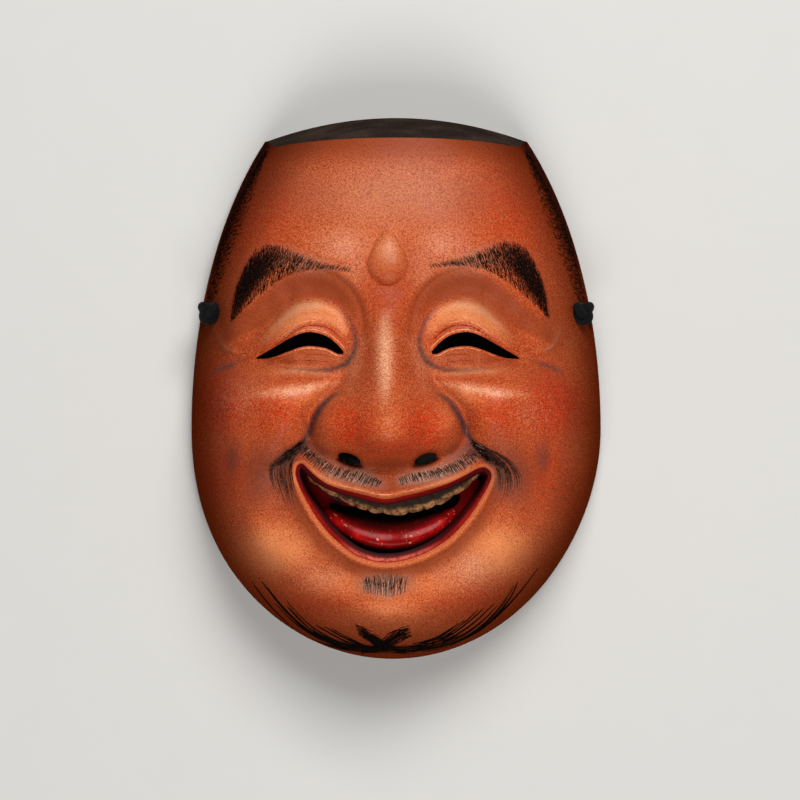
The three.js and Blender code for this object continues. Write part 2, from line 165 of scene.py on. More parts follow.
def triangles_in(piece):
    return sum(len(face.vertices) - 2 for face in piece.data.polygons)


def cos_sin(degrees):
    return math.cos(math.radians(degrees)), math.sin(math.radians(degrees))


print("helpers ready")


# %% [markdown]
# ## Curves through a few points
#
# A carver draws a line with one sweep of the hand. Here a line is a handful of points, in
# millimetres, and a Catmull-Rom curve sweeps through them. The same curve serves cords, lips,
# creases and brush strokes.

# %% Curves through a few points
def swept(points, per=8):
    """A smooth line through the points."""
    p = np.array(points, float)
    p = np.vstack([2 * p[0] - p[1], p, 2 * p[-1] - p[-2]])
    line = []
    for a, b, c, d in zip(p[:-3], p[1:-2], p[2:-1], p[3:]):
        for t in np.arange(per) / per:
            bend = 2 * a - 5 * b + 4 * c - d
            line.append(b + 0.5 * ((c - a) * t + bend * t**2 + (3 * (b - c) + d - a) * t**3))
    line.append(p[-2])
    return np.array(line)


def spaced(line, pitch):
    """The same line, with its points an even distance apart."""
    run = np.concatenate([[0], np.cumsum(np.linalg.norm(np.diff(line, axis=0), axis=1))])
    count = max(int(round(run[-1] / pitch)), 2)
    at = np.linspace(0, run[-1], count + 1)
    return np.stack([np.interp(at, run, line[:, k]) for k in range(line.shape[1])], -1)


def length_of(line):
    return float(np.linalg.norm(np.diff(line, axis=0), axis=1).sum())


def step(lo, hi, value):
    """0 below lo, 1 above hi, and smooth between."""
    t = np.clip((value - lo) / (hi - lo), 0, 1)
    return t * t * (3 - 2 * t)


print("a swept line of four points has", len(swept([[0, 0], [1, 0], [2, 1], [3, 1]])), "points")

# %% [markdown]
# ## The cords
#
# A silk cord comes through a hole at each temple and holds there by a knot on the outside. Its
# other end ties behind the head. The photograph shows only the two knots, so each cord is taken
# at a usual length, and all of it lies out of sight: down the inner wall, then in a neat round coil
# on the floor of the hollow. A tube wrapped round a path gives both the cord and its knots, and
# keeps the count of faces in hand.

# %% Route of a cord
MIRRORS = {"left": [-1, 1, 1], "right": [1, 1, 1]}
CORD_DIAMETER = 4
COIL_CENTRE = (27, 51)
COIL_TURNS = [(22, 2.1), (22, 6.3), (22, 10.5), (18, 10.5), (18, 6.3), (18, 2.1)]   # radius, height
TAIL_FROM, TAIL_TO = (15, 2.1), (11.9, 2.6)
TAIL_END = 90                # degrees
COIL_START = -12             # degrees, where the cord meets its coil
CHANGE_OVER = 60             # degrees in which it climbs to the next turn
DOWN_THE_WALL = [
    (64.9, 27, 23.5), (61.8, 27, 22), (58.5, 27, 20), (55, 27.1, 16.6), (51.8, 27.3, 12.2),
    (49, 27.9, 7.8), (47.2, 29, 4.2), (46.2, 31.2, 2.3), (45.9, 32.2, 2.1), (46.9, 39.2, 2.1),
]
END_KNOT_AT = (27, 62.9, 3.1)


def on_ring(degrees, one, other, share):
    """A point of the coil, between two of its turns, each a radius and a height."""
    radius, height = (a + (b - a) * share for a, b in zip(one, other))
    c, s = cos_sin(degrees)
    return COIL_CENTRE[0] + radius * c, COIL_CENTRE[1] + radius * s, height


def coil_points():
    """The turns, from the first at the bottom outside to the last at the bottom inside."""
    return [
        on_ring(COIL_START + angle, turn, after, step(360 - CHANGE_OVER, 360, angle))
        for turn, after in zip(COIL_TURNS, [*COIL_TURNS[1:], TAIL_FROM])
        for angle in np.arange(0, 360, 15)
    ]


def tail_points():
    """A last third of a turn inside the ring, to the end knot."""
    return [
        on_ring(COIL_START + share * (TAIL_END - COIL_START), TAIL_FROM, TAIL_TO, share)
        for share in np.linspace(0, 1, 7)
    ]


right_route = np.array(DOWN_THE_WALL + coil_points() + tail_points())
cord_line = spaced(swept(right_route, 6), 2.0)


# %% Rope along a path
def frames_along(line, closed=False):
    """Two directions square to the line at each of its points, turning as little as they can."""
    ahead = np.roll(line, -1, 0) - np.roll(line, 1, 0) if closed else np.gradient(line, axis=0)
    ahead /= np.linalg.norm(ahead, axis=1)[:, None]
    first = np.cross(ahead[0], [0.3, 0.2, 0.9])
    side = [first / np.linalg.norm(first)]
    for direction in ahead[1:]:
        turned = side[-1] - direction * side[-1].dot(direction)
        side.append(turned / np.linalg.norm(turned))
    side = np.array(side)
    return side, np.cross(ahead, side)


def braided(run, around, strands, pitch):
    """Relief of a round braid: two families of strands that wind against each other, 0 to 1."""
    one = strands / 2 * around + 2 * math.pi * run / pitch
    other = strands / 2 * around - 2 * math.pi * run / pitch
    return np.maximum(np.abs(np.sin(one / 2)), np.abs(np.sin(other / 2))) ** 0.7


def rope(name, line, radius, sides, relief, strands=6, pitch=5.0, closed=False):
    """A braided cord wrapped round a line of points, in millimetres, its UV map along it."""
    rings = len(line) if closed else len(line) - 1
    piece, along, around = flat_grid(name, rings, sides)
    loop = np.vstack([line, line[:1]]) if closed else line
    side, up = frames_along(line, closed)
    if closed:
        side, up = np.vstack([side, side[:1]]), np.vstack([up, up[:1]])
    ring = np.rint(along * rings).astype(int)
    turn = 2 * math.pi * around
    run = np.concatenate([[0], np.cumsum(np.linalg.norm(np.diff(loop, axis=0), axis=1))])
    thick = radius * (1 - relief + relief * braided(run[ring], turn, strands, pitch))
    out = np.cos(turn)[:, None] * side[ring] + np.sin(turn)[:, None] * up[ring]
    push_points(piece, (loop[ring] + out * thick[:, None]) * MM)
    weld_and_close(piece, 0.01 * MM, lambda: None if closed else bpy.ops.mesh.fill())
    smooth_shade(piece, 60)
    return piece


cords = {}
for side_name, mirror in MIRRORS.items():
    cord = rope(f"{side_name}_cord_braid", cord_line * mirror, CORD_DIAMETER / 2, sides=14, relief=0.06)
    cords[side_name] = cord
    print(cord.name, triangles_in(cord), "triangles")

# %% [markdown]
# ## The knots
#
# Each cord is held by a tight overhand knot, pulled down on the wood outside its hole, and its far
# end has a smaller one so that the braid doesn't come undone. A trefoil is the centre line of
# an overhand knot, so the knot is the same rope on a closed trefoil.

# %% Knots
KNOT_AT = (68.4, 27.7, 26.0)
KNOT_SIZE = 1.02
KNOT_TILT = 38               # degrees that the knot's face leans out to the side
KNOT_ROPE = {"radius": 1.75, "sides": 16, "relief": 0.14, "pitch": 3.6, "closed": True}
END_KNOT_SIZE = 0.62
END_KNOT_ROPE = {"radius": 1.15, "sides": 12, "relief": 0.14, "pitch": 3.0, "closed": True}


def trefoil(size, flat):
    """Centre line of an overhand knot about the origin, its face up."""
    t = np.linspace(0, 2 * math.pi, 120, endpoint=False)
    x, y = np.sin(t) + 2 * np.sin(2 * t), np.cos(t) - 2 * np.cos(2 * t)
    return size * np.stack([x, y, -flat * np.sin(3 * t)], -1)


def leaned(line, degrees):
    """Turned about the Y axis, so that its face looks up and to the right."""
    c, s = cos_sin(degrees)
    return np.stack([c * line[:, 0] + s * line[:, 2], line[:, 1], c * line[:, 2] - s * line[:, 0]], -1)


knots = {}
for side_name, mirror in MIRRORS.items():
    tight = (leaned(trefoil(KNOT_SIZE, 1.25), KNOT_TILT) + KNOT_AT) * mirror
    small = (trefoil(END_KNOT_SIZE, 1.0) + END_KNOT_AT) * mirror
    knots[side_name] = [
        rope(f"{side_name}_knot_braid", tight, **KNOT_ROPE),
        rope(f"{side_name}_end_knot_braid", small, **END_KNOT_ROPE),
    ]
    print([knot.name for knot in knots[side_name]])

# %% Cords and knots on the root, in place of the model's cords
for side_name, sign in (("left", -1), ("right", 1)):
    cord, (knot, end_knot) = cords[side_name], knots[side_name]
    for piece in (cord, knot, end_knot):
        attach(piece, "root")
    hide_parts(f"{side_name}_cord", f"{side_name}_cord_coil")
    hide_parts(f"{side_name}_cord_knot")
    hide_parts(f"{side_name}_cord_end")

# %% [markdown]
# ## The block's outline and rounding
#
# A mask carver starts from the outline: half an ellipse for the jaw, a longer one for the sides, and
# a low arc where the crown is cut square and lacquered black. Over it goes one rounded ground form.
# `gauge` says how far out a point is, 0 at the middle and 1 on the outline.

# %% Outline and ground form, in millimetres
HALF_WIDTH = 75.5
WAIST_Y = -15
CHIN_REACH = 84.8
JAW_LEAN = 1.2               # the jaw of the outline leans a little to the left
SIDE_REACH = 138
TOP_Y = 99.8
TOP_ARC = 131
BROW_EDGE_Y = 90.3
BROW_EDGE_ARC = 435
DOME_HEIGHT = 57
FACE_AXIS_X = -3             # the carved face sits a little to one side of its outline
RIM_WIDTH = 9
HOLLOW_HEIGHT = 48


def lean(y):
    """How far to the side the middle of the outline lies at a height."""
    return -JAW_LEAN * step(WAIST_Y, -70, y)


def gauge(x, y, inset=0.0):
    reach = np.where(y > WAIST_Y, SIDE_REACH, CHIN_REACH) - inset
    return np.hypot((x - lean(y)) / (HALF_WIDTH - inset), (y - WAIST_Y) / reach)


def dome(x, y):
    fullness = 2.5 + 1.6 * step(0, 0.75, (WAIST_Y - y) / CHIN_REACH)
    return DOME_HEIGHT * np.sqrt(np.maximum(1 - gauge(x, y) ** fullness, 0))


def swelling(u, v, at, reach, turn=0.0, power=2.0):
    """A soft round rise of 1 at its middle."""
    c, s = cos_sin(turn)
    p, q = u - at[0], v - at[1]
    return np.exp(-np.hypot((p * c + q * s) / reach[0], (q * c - p * s) / reach[1]) ** power)


print("ground form at the middle", round(float(dome(np.array(0.0), np.array(0.0))), 1), "mm")

# %% [markdown]
# ## Levels of the carved face
#
# The carver marks how deep to cut at certain points: brow ridge, lid, cheek, fold, lip. The tables
# hold these levels as distance from the face's middle line, height up the face, and height over the
# back rim. Both halves of the face share them. A thin bent plate through the marks gives the surface
# between, which stays smooth as carved wood does. The nose has a table of its own, because it
# stands over the cheeks with steep sides.

# %% Levels of the carved face, in millimetres
FOREHEAD = [
    (0, 88, 47.5), (20, 87, 45.5), (36, 85, 40.5), (47, 82, 33.5),
    (0, 74, 51), (20, 73, 49.5), (36, 70, 45), (50, 66, 36),
    (0, 60, 53.5), (18, 60, 53), (34, 56, 50), (48, 52, 42.5), (59, 48, 31.5),
    (0, 48, 55), (12, 48, 55.5), (24, 50, 54.5), (0, 38, 56), (0, 30, 56),
]
BROW_RIDGE = [
    (9.5, 37.5, 56.2), (15, 43, 56.4), (24, 47, 55.7), (32, 47, 54.2), (40, 43.5, 51.5),
    (47, 37.5, 47.6), (53, 29, 43.3), (57.5, 20, 39.3),
    (13, 33.5, 54.6), (18.5, 37, 53.6), (26, 38.6, 52.4), (33, 37.6, 51.2), (40, 34, 48.9),
    (46, 28.5, 45.6), (51, 21.5, 42), (53.5, 14.5, 40.5),
]
EYE_SOCKET = [
    (10.5, 26, 54), (11.5, 18, 52.8), (15, 27, 52.4), (19, 31.5, 51.3), (27, 33.8, 50.2),
    (35, 32.2, 48.7), (42, 27.5, 46.2), (48, 20.5, 43),
    (17, 21, 53.8), (21, 25, 54.4), (27, 27.6, 54.6), (33, 26.6, 53.6), (39, 22.8, 51), (44.5, 17.6, 47.3),
    (15, 13.5, 53), (19, 17.8, 54.8), (25, 21, 56.4), (31, 21, 56.2), (37, 18, 53.8), (43, 14.2, 50),
    (49, 11, 45.5),
    (18, 11, 53), (23, 13.3, 54.6), (29, 13.8, 55), (35, 12, 53), (42, 9.8, 49.3),
    (11, 11.5, 53.5), (15, 9, 52.6), (22, 7.9, 52.6), (29, 7.7, 52.4), (37, 8.4, 51), (45, 9.4, 47.8),
    (53, 8.8, 43.4), (60, 5.8, 38),
]
CHEEK = [
    (15, 5.5, 54.4), (20, 4.2, 57), (27, 3.4, 59.2), (35, 3.5, 59.6), (43, 4.4, 57.3), (51, 4.2, 52.2),
    (58, 1.4, 45.8),
    (22, 0.8, 58.6), (30, 0.2, 61.6), (38, 0, 62.6), (46, 0.2, 60), (54, -1, 53.4), (61, -4, 45.5),
    (27, -3.5, 62), (34, -4, 64), (42, -5, 63.6), (50, -6.5, 58.8), (58, -9, 50.8), (65, -12, 40.5),
    (32, -12, 62.6), (39, -14, 63.8), (47, -16, 60.5), (55, -19, 53.2), (62, -22, 44),
    (35, -20, 61), (41, -24, 60.2), (48, -28, 56.8), (55, -32, 50.4), (62, -34, 42),
    (17, 0.5, 54.8), (21, -3.4, 56), (25.3, -8, 57), (28, -14, 57.8), (30.5, -20, 58.6),
    (34.5, -24.6, 58.4), (39.5, -28.6, 57.2), (44.5, -32.6, 55), (48, -39, 52.8), (49, -47, 51.2),
]
LIPS = [
    (0, -30, 64.5), (10, -30, 64.2), (20, -28.5, 62.8), (28, -26.5, 60.8),
    (0, -36, 66.6), (12, -35.5, 65.8), (22, -32.5, 63.6), (30, -29, 60.6), (35, -28.8, 58.2),
    (0, -46, 65.5), (20, -42, 62.5), (0, -56, 62.8), (16, -52, 61.8),
    (38, -34, 55.6), (36, -40, 56), (30.5, -48, 57.8), (23, -56.5, 59.6), (12, -62.5, 61), (0, -64.5, 61.4),
]
JAW = [
    (40.5, -41, 54.2), (34, -51, 55.4), (25.5, -60, 57), (13, -66.5, 58.2), (0, -69, 58.4),
    (45, -47, 52.8), (43, -52.5, 52.8), (36, -61, 54), (27, -69, 54.4), (17, -74.5, 56.4),
    (8, -77, 58.8), (0, -78, 59.4),
    (54, -46, 46), (55, -58, 40), (48, -64, 42), (39, -72.5, 43.5), (28, -79.5, 45.5), (17, -84, 48),
    (8, -87, 50.5), (0, -88, 51),
    (48, -76, 28), (34, -86, 29), (18, -93, 30), (0, -95, 32),
    (61, 30, 33), (66, 12, 28), (68.5, -4, 29.5), (69.5, -26, 27), (67, -44, 25.5), (60, -62, 25),
]
NOSE = [
    (0, 36, 53), (0, 30, 55.6), (0, 22, 60.4), (0, 14, 66), (0, 6, 71.2), (0, -2, 76.6), (0, -8, 80.8),
    (0, -13, 83.4), (0, -18, 82.8), (0, -22.5, 79.3), (0, -25.5, 74), (0, -28, 66),
    (4, 30, 55), (4, 22, 59.2), (4, 14, 64.6), (4, 6, 69.6), (5, -2, 74.6), (6, -8, 78.6),
    (7, -13, 80.6), (7, -18, 79.8), (7, -22.5, 75.8), (7, -26, 69),
    (9, 30, 51), (8, 22, 54.6), (8, 14, 58.6), (9, 6, 63.2), (10.5, -2, 69.2), (12, -8, 73.6),
    (13, -13, 75), (13, -18.5, 73.8), (13.5, -23, 70), (13.5, -26.5, 63),
    (12.5, 22, 49), (13, 14, 52), (14, 6, 56.5), (16, -1, 62.4), (18, -6.5, 68.8), (19.5, -12, 71.2),
    (19.5, -18, 70), (19, -22.6, 66), (18, -26, 60),
    (19, 5, 47), (21, -1, 55.5), (24, -6, 62.5), (25.6, -12, 65.2), (25, -18, 63.6), (23, -23.2, 60),
    (26, 2, 40), (29, -4, 48), (30.5, -12, 51), (29.5, -20, 50), (25.5, -26.5, 49), (16, -30, 52),
    (0, -32, 56), (16, 26, 42), (20, 14, 38), (34, -10, 40), (30, -28, 40),
]
FACE = FOREHEAD + BROW_RIDGE + EYE_SOCKET + CHEEK + LIPS + JAW
print("levels:", len(FACE), "and", len(NOSE), "for the nose")


# %% A bent plate through levels
class BentPlate:
    """The smoothest thin plate through levels, the same on both sides of the face's middle line."""

    UNIT = 100.0

    def __init__(self, levels, ground):
        marks = []
        for u, v, z in levels:
            height = z - float(ground(np.array(float(u)), np.array(float(v))))
            marks += [(u, v, height)] + ([(-u, v, height)] if u else [])
        marks = np.array(marks, float)
        self.marks = marks[:, :2] / self.UNIT
        count = len(marks)
        plane = np.column_stack([np.ones(count), self.marks])
        system = np.zeros((count + 3, count + 3))
        system[:count, :count] = self.bend(self.marks[:, None] - self.marks)
        system[:count, count:], system[count:, :count] = plane, plane.T
        self.weights = np.linalg.solve(system, np.concatenate([marks[:, 2], [0, 0, 0]]))

    @staticmethod
    def bend(apart):
        r2 = (apart**2).sum(-1)
        return 0.5 * r2 * np.log(r2 + 1e-12)

    def height(self, u, v):
        at = np.stack([np.ravel(u), np.ravel(v)], -1) / self.UNIT
        count = len(self.marks)
        out = at @ self.weights[count + 1:] + self.weights[count]
        for k in range(0, len(at), 20000):
            out[k:k + 20000] += self.bend(at[k:k + 20000, None] - self.marks) @ self.weights[:count]
        return out.reshape(np.shape(u))


face_plate = BentPlate(FACE, dome)
nose_plate = BentPlate(NOSE, lambda u, v: 0.0)
print("plates bent through", len(face_plate.marks), "and", len(nose_plate.marks), "marks")

# %% [markdown]
# ## Fine cuts
#
# With the large forms in place, the carver draws in the fine cuts: the edge of the eye socket, two
# folds of the lid, the folds round the cheek and the outline of the mouth. Each is a line with
# a width and a depth that runs out towards its ends.

# %% Lines of the fine cuts, in millimetres from the face's middle line
SOCKET_EDGE = [(8.6, 14), (8.8, 22), (10.3, 30), (14.5, 36.5), (20.5, 40.7), (28, 42.2), (36, 40.7)]
LID_FOLD = [
    (15.5, 17.1), (19.1, 20.8), (22.5, 22.7), (26.5, 23.3), (31.6, 22.3), (37.5, 18), (44.1, 13.7),
    (49, 11.6),
]
LID_LINE = [(28, 21.9), (34, 20), (40, 16), (46, 12.4)]
LID_EDGE = [
    (13.6, 25.6), (17.7, 29.6), (22, 31.4), (27.2, 31.9), (33.1, 30.7), (38.2, 27.4), (43, 22.8),
    (49, 17.4),
]
BAND_END = [(62.6, 22.5), (61.7, 19.8), (59.6, 15.8), (57, 13.8), (53, 13.2)]
CHEEK_TOP = [
    (12, 10.8), (17, 8.4), (25, 7.4), (33, 7.9), (41, 9.2), (48, 9.6), (54, 8.6), (60, 5.8), (66, 2.5),
]
CHEEK_FOLD = [
    (17, 1), (20.5, -2.6), (25, -7.4), (27.7, -13.5), (29.5, -19.5), (34, -24.3), (39.5, -28), (45, -32.5),
]
MOUTH_TOP = [
    (-35.6, -27.6), (-33.6, -26.9), (-31, -29.2), (-28, -31.8), (-24, -34.2), (-18, -36), (-11, -37.6),
    (-4, -39), (3, -37.8), (10, -36.3), (18, -34), (24, -31.4), (29, -28.8), (32, -28.3), (34, -29.8),
]
MOUTH_BOTTOM = [
    (-35.6, -27.6), (-36.2, -31), (-34.3, -37.5), (-30, -45.5), (-24, -53.2), (-16, -59.8), (-9, -62.6),
    (-3, -63.2), (4, -62.2), (12, -59.2), (20, -54), (27, -46.5), (32, -38.5), (34.4, -32.5), (34, -29.8),
]
NOSTRIL_AT = (13.7, -25.4)
CUTS = [                     # line, depth, width, share of its length in which it runs out
    (SOCKET_EDGE, 0.9, 1.1, 0.3), (LID_EDGE, 0.7, 1.0, 0.2), (BAND_END, -0.9, 1.1, 0.2),
    (CHEEK_FOLD, 1.5, 1.5, 0.25), (LID_FOLD, 0.9, 0.75, 0.2), (LID_LINE, 0.35, 0.5, 0.3),
    (CHEEK_TOP, 1.0, 1.3, 0.25),
]
HOLLOWS = [                  # depth, place, reach, turn, steepness
    (7, NOSTRIL_AT, (4.9, 2.1), 20, 4),      # nostril
    (1.8, (57.5, -27), (2.6, 6.5), 5, 2),    # dimple of the cheek
    (1.6, (60.5, 22), (3, 9), 0, 2),         # temple beside the eye
    (0.8, (0, -32.5), (2.6, 5), 0, 2.5),     # groove under the nose
]
JEWEL_Y = 45
JEWEL_RADIUS, JEWEL_BELOW, JEWEL_ABOVE, JEWEL_HEIGHT = 7.4, 8.2, 12.5, 3.6
NOSE_ROOM = {"half": 34, "low": -32, "high": 44}     # where the nose stands over the cheeks
LIP_ROLL = 0.7
LEDGE_DEPTH, LEDGE_WIDTH = 1.8, 2.6                   # of the red lip inside its edge
POCKET_DEPTH = 13                                     # from the lip down to the floor of the mouth
print(len(CUTS), "cuts and", len(HOLLOWS), "hollows")


# %% Distance from a line
def distance_to(x, y, line, reach):
    """Distance from a swept line (its left is positive) and the share of its length, 0 to 1.

    Both are worked out only within a reach of the line."""
    line = swept(line, 5)
    apart = np.full(np.shape(x), 999.0)
    share = np.zeros(np.shape(x))
    lo, hi = line.min(0) - reach, line.max(0) + reach
    near = (x > lo[0]) & (x < hi[0]) & (y > lo[1]) & (y < hi[1])
    px, py, best, where, hand = x[near], y[near], apart[near], share[near], np.ones(near.sum())
    for k, (a, d) in enumerate(zip(line[:-1], np.diff(line, axis=0))):
        t = np.clip(((px - a[0]) * d[0] + (py - a[1]) * d[1]) / (d @ d), 0, 1)
        away = np.hypot(px - a[0] - t * d[0], py - a[1] - t * d[1])
        closer = away < best
        best = np.where(closer, away, best)
        where = np.where(closer, (k + t) / (len(line) - 1), where)
        hand = np.where(closer, np.sign(d[0] * (py - a[1]) - d[1] * (px - a[0])), hand)
    apart[near], share[near] = best * hand, where
    return apart, share


def drawn(x, y, line, width, fade=0.2):
    """1 on a line, soft to its sides over a width, and running out at both ends."""
    apart, share = distance_to(x, y, line, 4 * width)
    return step(0, fade, share) * step(0, fade, 1 - share) * np.exp(-np.abs(apart / width) ** 1.5)


def into_mouth(x, y):
    """Distance from the outline of the lips, positive inside the mouth."""
    over, _ = distance_to(x, y, MOUTH_TOP, 40)
    under, _ = distance_to(x, y, MOUTH_BOTTOM, 40)
    gap = np.minimum(np.abs(over), np.abs(under))
    return np.where((over < 0) & (under > 0), gap, -gap)


print("the lower lip is", round(length_of(swept(MOUTH_BOTTOM, 5))), "mm long")


# %% The carved front
def jewel(u, v):
    """A drop with its point up, a few millimetres proud of the forehead."""
    q = v - JEWEL_Y
    up = np.clip(q / JEWEL_ABOVE, 0, 1)
    belly = np.sqrt(np.maximum(1 - (q / JEWEL_BELOW) ** 2, 0))
    width = JEWEL_RADIUS * np.where(q > 0, (1 - up) ** 0.78 * (1 + 0.3 * up), belly) + 1e-3
    tall = np.where(q > 0, (1 - up) ** 0.75, belly)
    return JEWEL_HEIGHT * np.maximum(1 - (u / width) ** 2, 0) ** 0.6 * tall


def front(x, y):
    """Height of the carved front over the back rim."""
    x, y = np.asarray(x, float), np.asarray(y, float)
    u = x - FACE_AXIS_X
    out = np.abs(u)
    z = dome(x, y) + step(1.0, 0.78, gauge(x, y)) * face_plate.height(u, y)
    nose = nose_plate.height(u, y) - 10 * step(30, 44, y)
    # tight beside the wings of the nose, soft beside its ridge
    soft = 1.8 + 5 * step(-2, 12, y) - 2 * step(16, 28, y) - 4 * step(32, 44, y)
    with_nose = 0.5 * (z + nose + np.sqrt((z - nose) ** 2 + soft**2))
    beside_nose = (out > NOSE_ROOM["half"]) | (y < NOSE_ROOM["low"]) | (y > NOSE_ROOM["high"])
    z = np.where(beside_nose, z, with_nose) + jewel(u, y)
    for line, depth, width, fade in CUTS:
        z = z - depth * drawn(out, y, line, width, fade)
    for depth, *shape in HOLLOWS:
        z = z - depth * swelling(out, y, *shape)
    inside = into_mouth(x, y)
    z = z + LIP_ROLL * np.exp(-(inside + 1) ** 2)
    ledge = inside * (1 + 0.4 * step(-46, -36, y))
    pocket = LEDGE_DEPTH * np.clip(ledge / LEDGE_WIDTH, 0, 1) + POCKET_DEPTH * step(2.2, 4.4, ledge)
    return np.maximum(z - pocket, 0)


nose_tip = front(np.array([FACE_AXIS_X]), np.array([-14.0]))[0]
print("tip of the nose", round(float(nose_tip), 1), "mm over the rim")

# %% The hollow behind it
HOLLOW_ROOM = [              # depth, place, reach
    (6, (38, -8), (17, 16)),     # cheek
    (13, (0, -6), (12, 17)),     # nose
    (-7, (0, -47), (34, 13)),    # mouth
]


def hollow(x, y):
    """Height of the hollow behind the face, with room for the cheeks and the nose."""
    u = np.abs(x - FACE_AXIS_X)
    inner = gauge(x, y, RIM_WIDTH)
    shell = HOLLOW_HEIGHT * np.sqrt(np.maximum(1 - inner**3.2, 0))
    room = sum(depth * swelling(u, y, at, reach) for depth, at, reach in HOLLOW_ROOM)
    return shell + room * step(1.0, 0.8, inner)


behind_nose = hollow(np.array([FACE_AXIS_X]), np.array([-14.0]))[0]
print("the wood behind the tip of the nose is", round(float(nose_tip - behind_nose), 1), "mm thick")

# %% [markdown]
# ## The wooden body
#
# The body starts as a flat grid. It is laid over the outline as a patch between four curves, so that
# its edges follow the rim, and every point is lifted to the height of the carved front. More
# columns and rows are given to the middle of the face, where the fine cuts are. Its last rows
# go down from the front edge of the crown to the rim. Filling the rim closes the solid.

# %% Plan of the body
CHIN_ANGLE = math.radians(42)
MARGIN = 0.17                # of the plan, towards each edge, where stations close up
MARGIN_ACROSS, MARGIN_UP = 0.155, 0.14       # share of the columns and of the rows in it
CROWN_BULGE = 0.6


def corner_x(inset=0.0):
    """Where the crown of the rim meets the side."""
    inside, outside = 0.0, HALF_WIDTH - inset
    for _ in range(50):
        x = (inside + outside) / 2
        y = TOP_Y - inset - x * x / (2 * (TOP_ARC - inset))
        inside, outside = (x, outside) if gauge(x, np.array(y), inset) < 1 else (inside, x)
    return inside


def on_side(angle, inset=0.0):
    reach = np.where(angle < math.pi / 2, CHIN_REACH, SIDE_REACH) - inset
    return (HALF_WIDTH - inset) * np.sin(angle), WAIST_Y - reach * np.cos(angle)


def brow_edge(x, inset=0.0):
    """Front edge of the black crown, which bends into the corner at each side."""
    corner = corner_x(inset)
    _, corner_y = on_side(math.pi - math.asin(corner / (HALF_WIDTH - inset)), inset)
    arc = BROW_EDGE_Y - inset - x * x / (2 * BROW_EDGE_ARC)
    return arc + (corner_y - arc) * step(corner - 5, corner, np.abs(x))


def plan_point(s, t, inset=0.0):
    """A point of the patch between the chin, the two sides and the front edge of the crown."""
    corner = corner_x(inset)
    corner_angle = math.pi - math.asin(corner / (HALF_WIDTH - inset))
    across = 2 * s - 1
    side_x, side_y = on_side(CHIN_ANGLE + (corner_angle - CHIN_ANGLE) * t, inset)
    low_x, low_y = on_side(CHIN_ANGLE * np.abs(across), inset)
    end_x, end_y = on_side(CHIN_ANGLE, inset)
    _, corner_y = on_side(corner_angle, inset)
    top_x = across * corner
    x = (1 - t) * np.sign(across) * low_x + t * top_x + across * (side_x - (1 - t) * end_x - t * corner)
    y = (1 - t) * low_y + t * brow_edge(top_x, inset) + side_y - (1 - t) * end_y - t * corner_y
    return x + lean(y), y


def fine_in_the_middle(share, margin_share):
    """Stations from 0 to 1: even in the middle, and closing up towards both edges."""
    low = MARGIN * np.clip(share / margin_share, 0, 1) ** 1.7
    high = 1 - MARGIN * np.clip((1 - share) / margin_share, 0, 1) ** 1.7
    even = np.clip((share - margin_share) / (1 - 2 * margin_share), 0, 1)
    middle = MARGIN + (1 - 2 * MARGIN) * even
    return np.select([share < margin_share, share > 1 - margin_share], [low, high], middle)


print("crown meets the sides at", round(corner_x(), 1), "mm")


# %% Body and hollow
def laid_over(name, columns, rows, crown_rows, height, inset, lift=0.0):
    """A closed solid: a grid laid over the plan, lifted to a height and filled along its rim.

    A solid to cut with reaches a lift past the rim."""
    piece, s, t = flat_grid(name, columns, rows + crown_rows)
    row = np.rint(t * (rows + crown_rows))
    s = fine_in_the_middle(s, MARGIN_ACROSS)
    x, y = plan_point(s, fine_in_the_middle(np.minimum(row / rows, 1), MARGIN_UP), inset)
    on_rim = (s < 1e-6) | (s > 1 - 1e-6) | (row == 0) | (row == rows + crown_rows)
    down = np.maximum(row - rows, 0) / crown_rows
    z = np.where(on_rim, 0, np.maximum(height(x, y), 0.5))
    corner = corner_x(inset)
    rim_arc = TOP_Y - inset - x**2 / (2 * (TOP_ARC - inset))
    rim_y = np.where(np.abs(x) < corner - 0.01, rim_arc, y)
    y = y + (rim_y - y) * down + CROWN_BULGE * np.sin(math.pi * down) * z / DOME_HEIGHT
    push_points(piece, np.stack([x, y, z * (1 - down) - lift * on_rim], -1) * MM)
    weld_and_close(piece, 0.001 * MM, lambda: bpy.ops.mesh.edge_face_add())
    return piece


body = laid_over("mask_body", columns=290, rows=300, crown_rows=9, height=front, inset=0.0)
hollow_cutter = laid_over("hollow_cutter", 72, 76, 5, hollow, RIM_WIDTH, lift=1.0)
print("body", triangles_in(body), "triangles, hollow", triangles_in(hollow_cutter))

# %% [markdown]
# ## Cutting the openings
#
# The carver hollows the block from behind, then opens the eyes, the nostrils, the mouth and the two
# holes for the cord. Each cut is a closed solid taken away by a Boolean modifier: the hollow
# is the second laid-over grid, the slits and the throat are outlines pulled up into prisms, and
# the round holes are cylinders. This keeps every edge as crisp as a knife leaves it.

# %% Cuts through the wall
EYE_TOP = [
    (15.7, 13), (18, 15.6), (21.5, 18.4), (26, 19.9), (30, 19.9), (35, 18), (41, 14.6), (47.4, 11),
]
EYE_LOW = [(47.4, 10.4), (42, 10.9), (36, 13), (31, 14.7), (27, 15), (22, 14.2), (18, 12.3), (15.9, 12.2)]
THROAT = [
    (-24, -41.4), (-17, -42.6), (-8, -43.8), (0, -44), (8, -43.2), (16, -41), (22.5, -38.2),
    (22.4, -41.5), (17, -46), (10, -49.2), (3, -50.4), (-4, -50.6), (-11, -49.8), (-18, -47),
    (-22.6, -44),
]
CUT_HEIGHTS = (28, 92)
NOSTRIL_SIZE = (4.2, 1.9)
NOSTRIL_TURN = 20
NOSTRIL_DEPTH, CORD_HOLE_DEPTH = 64, 40
CORD_HOLE_RADIUS = 3.2
CORD_HOLE_AT = (66, 27, 24)
CORD_HOLE_TILT = 25


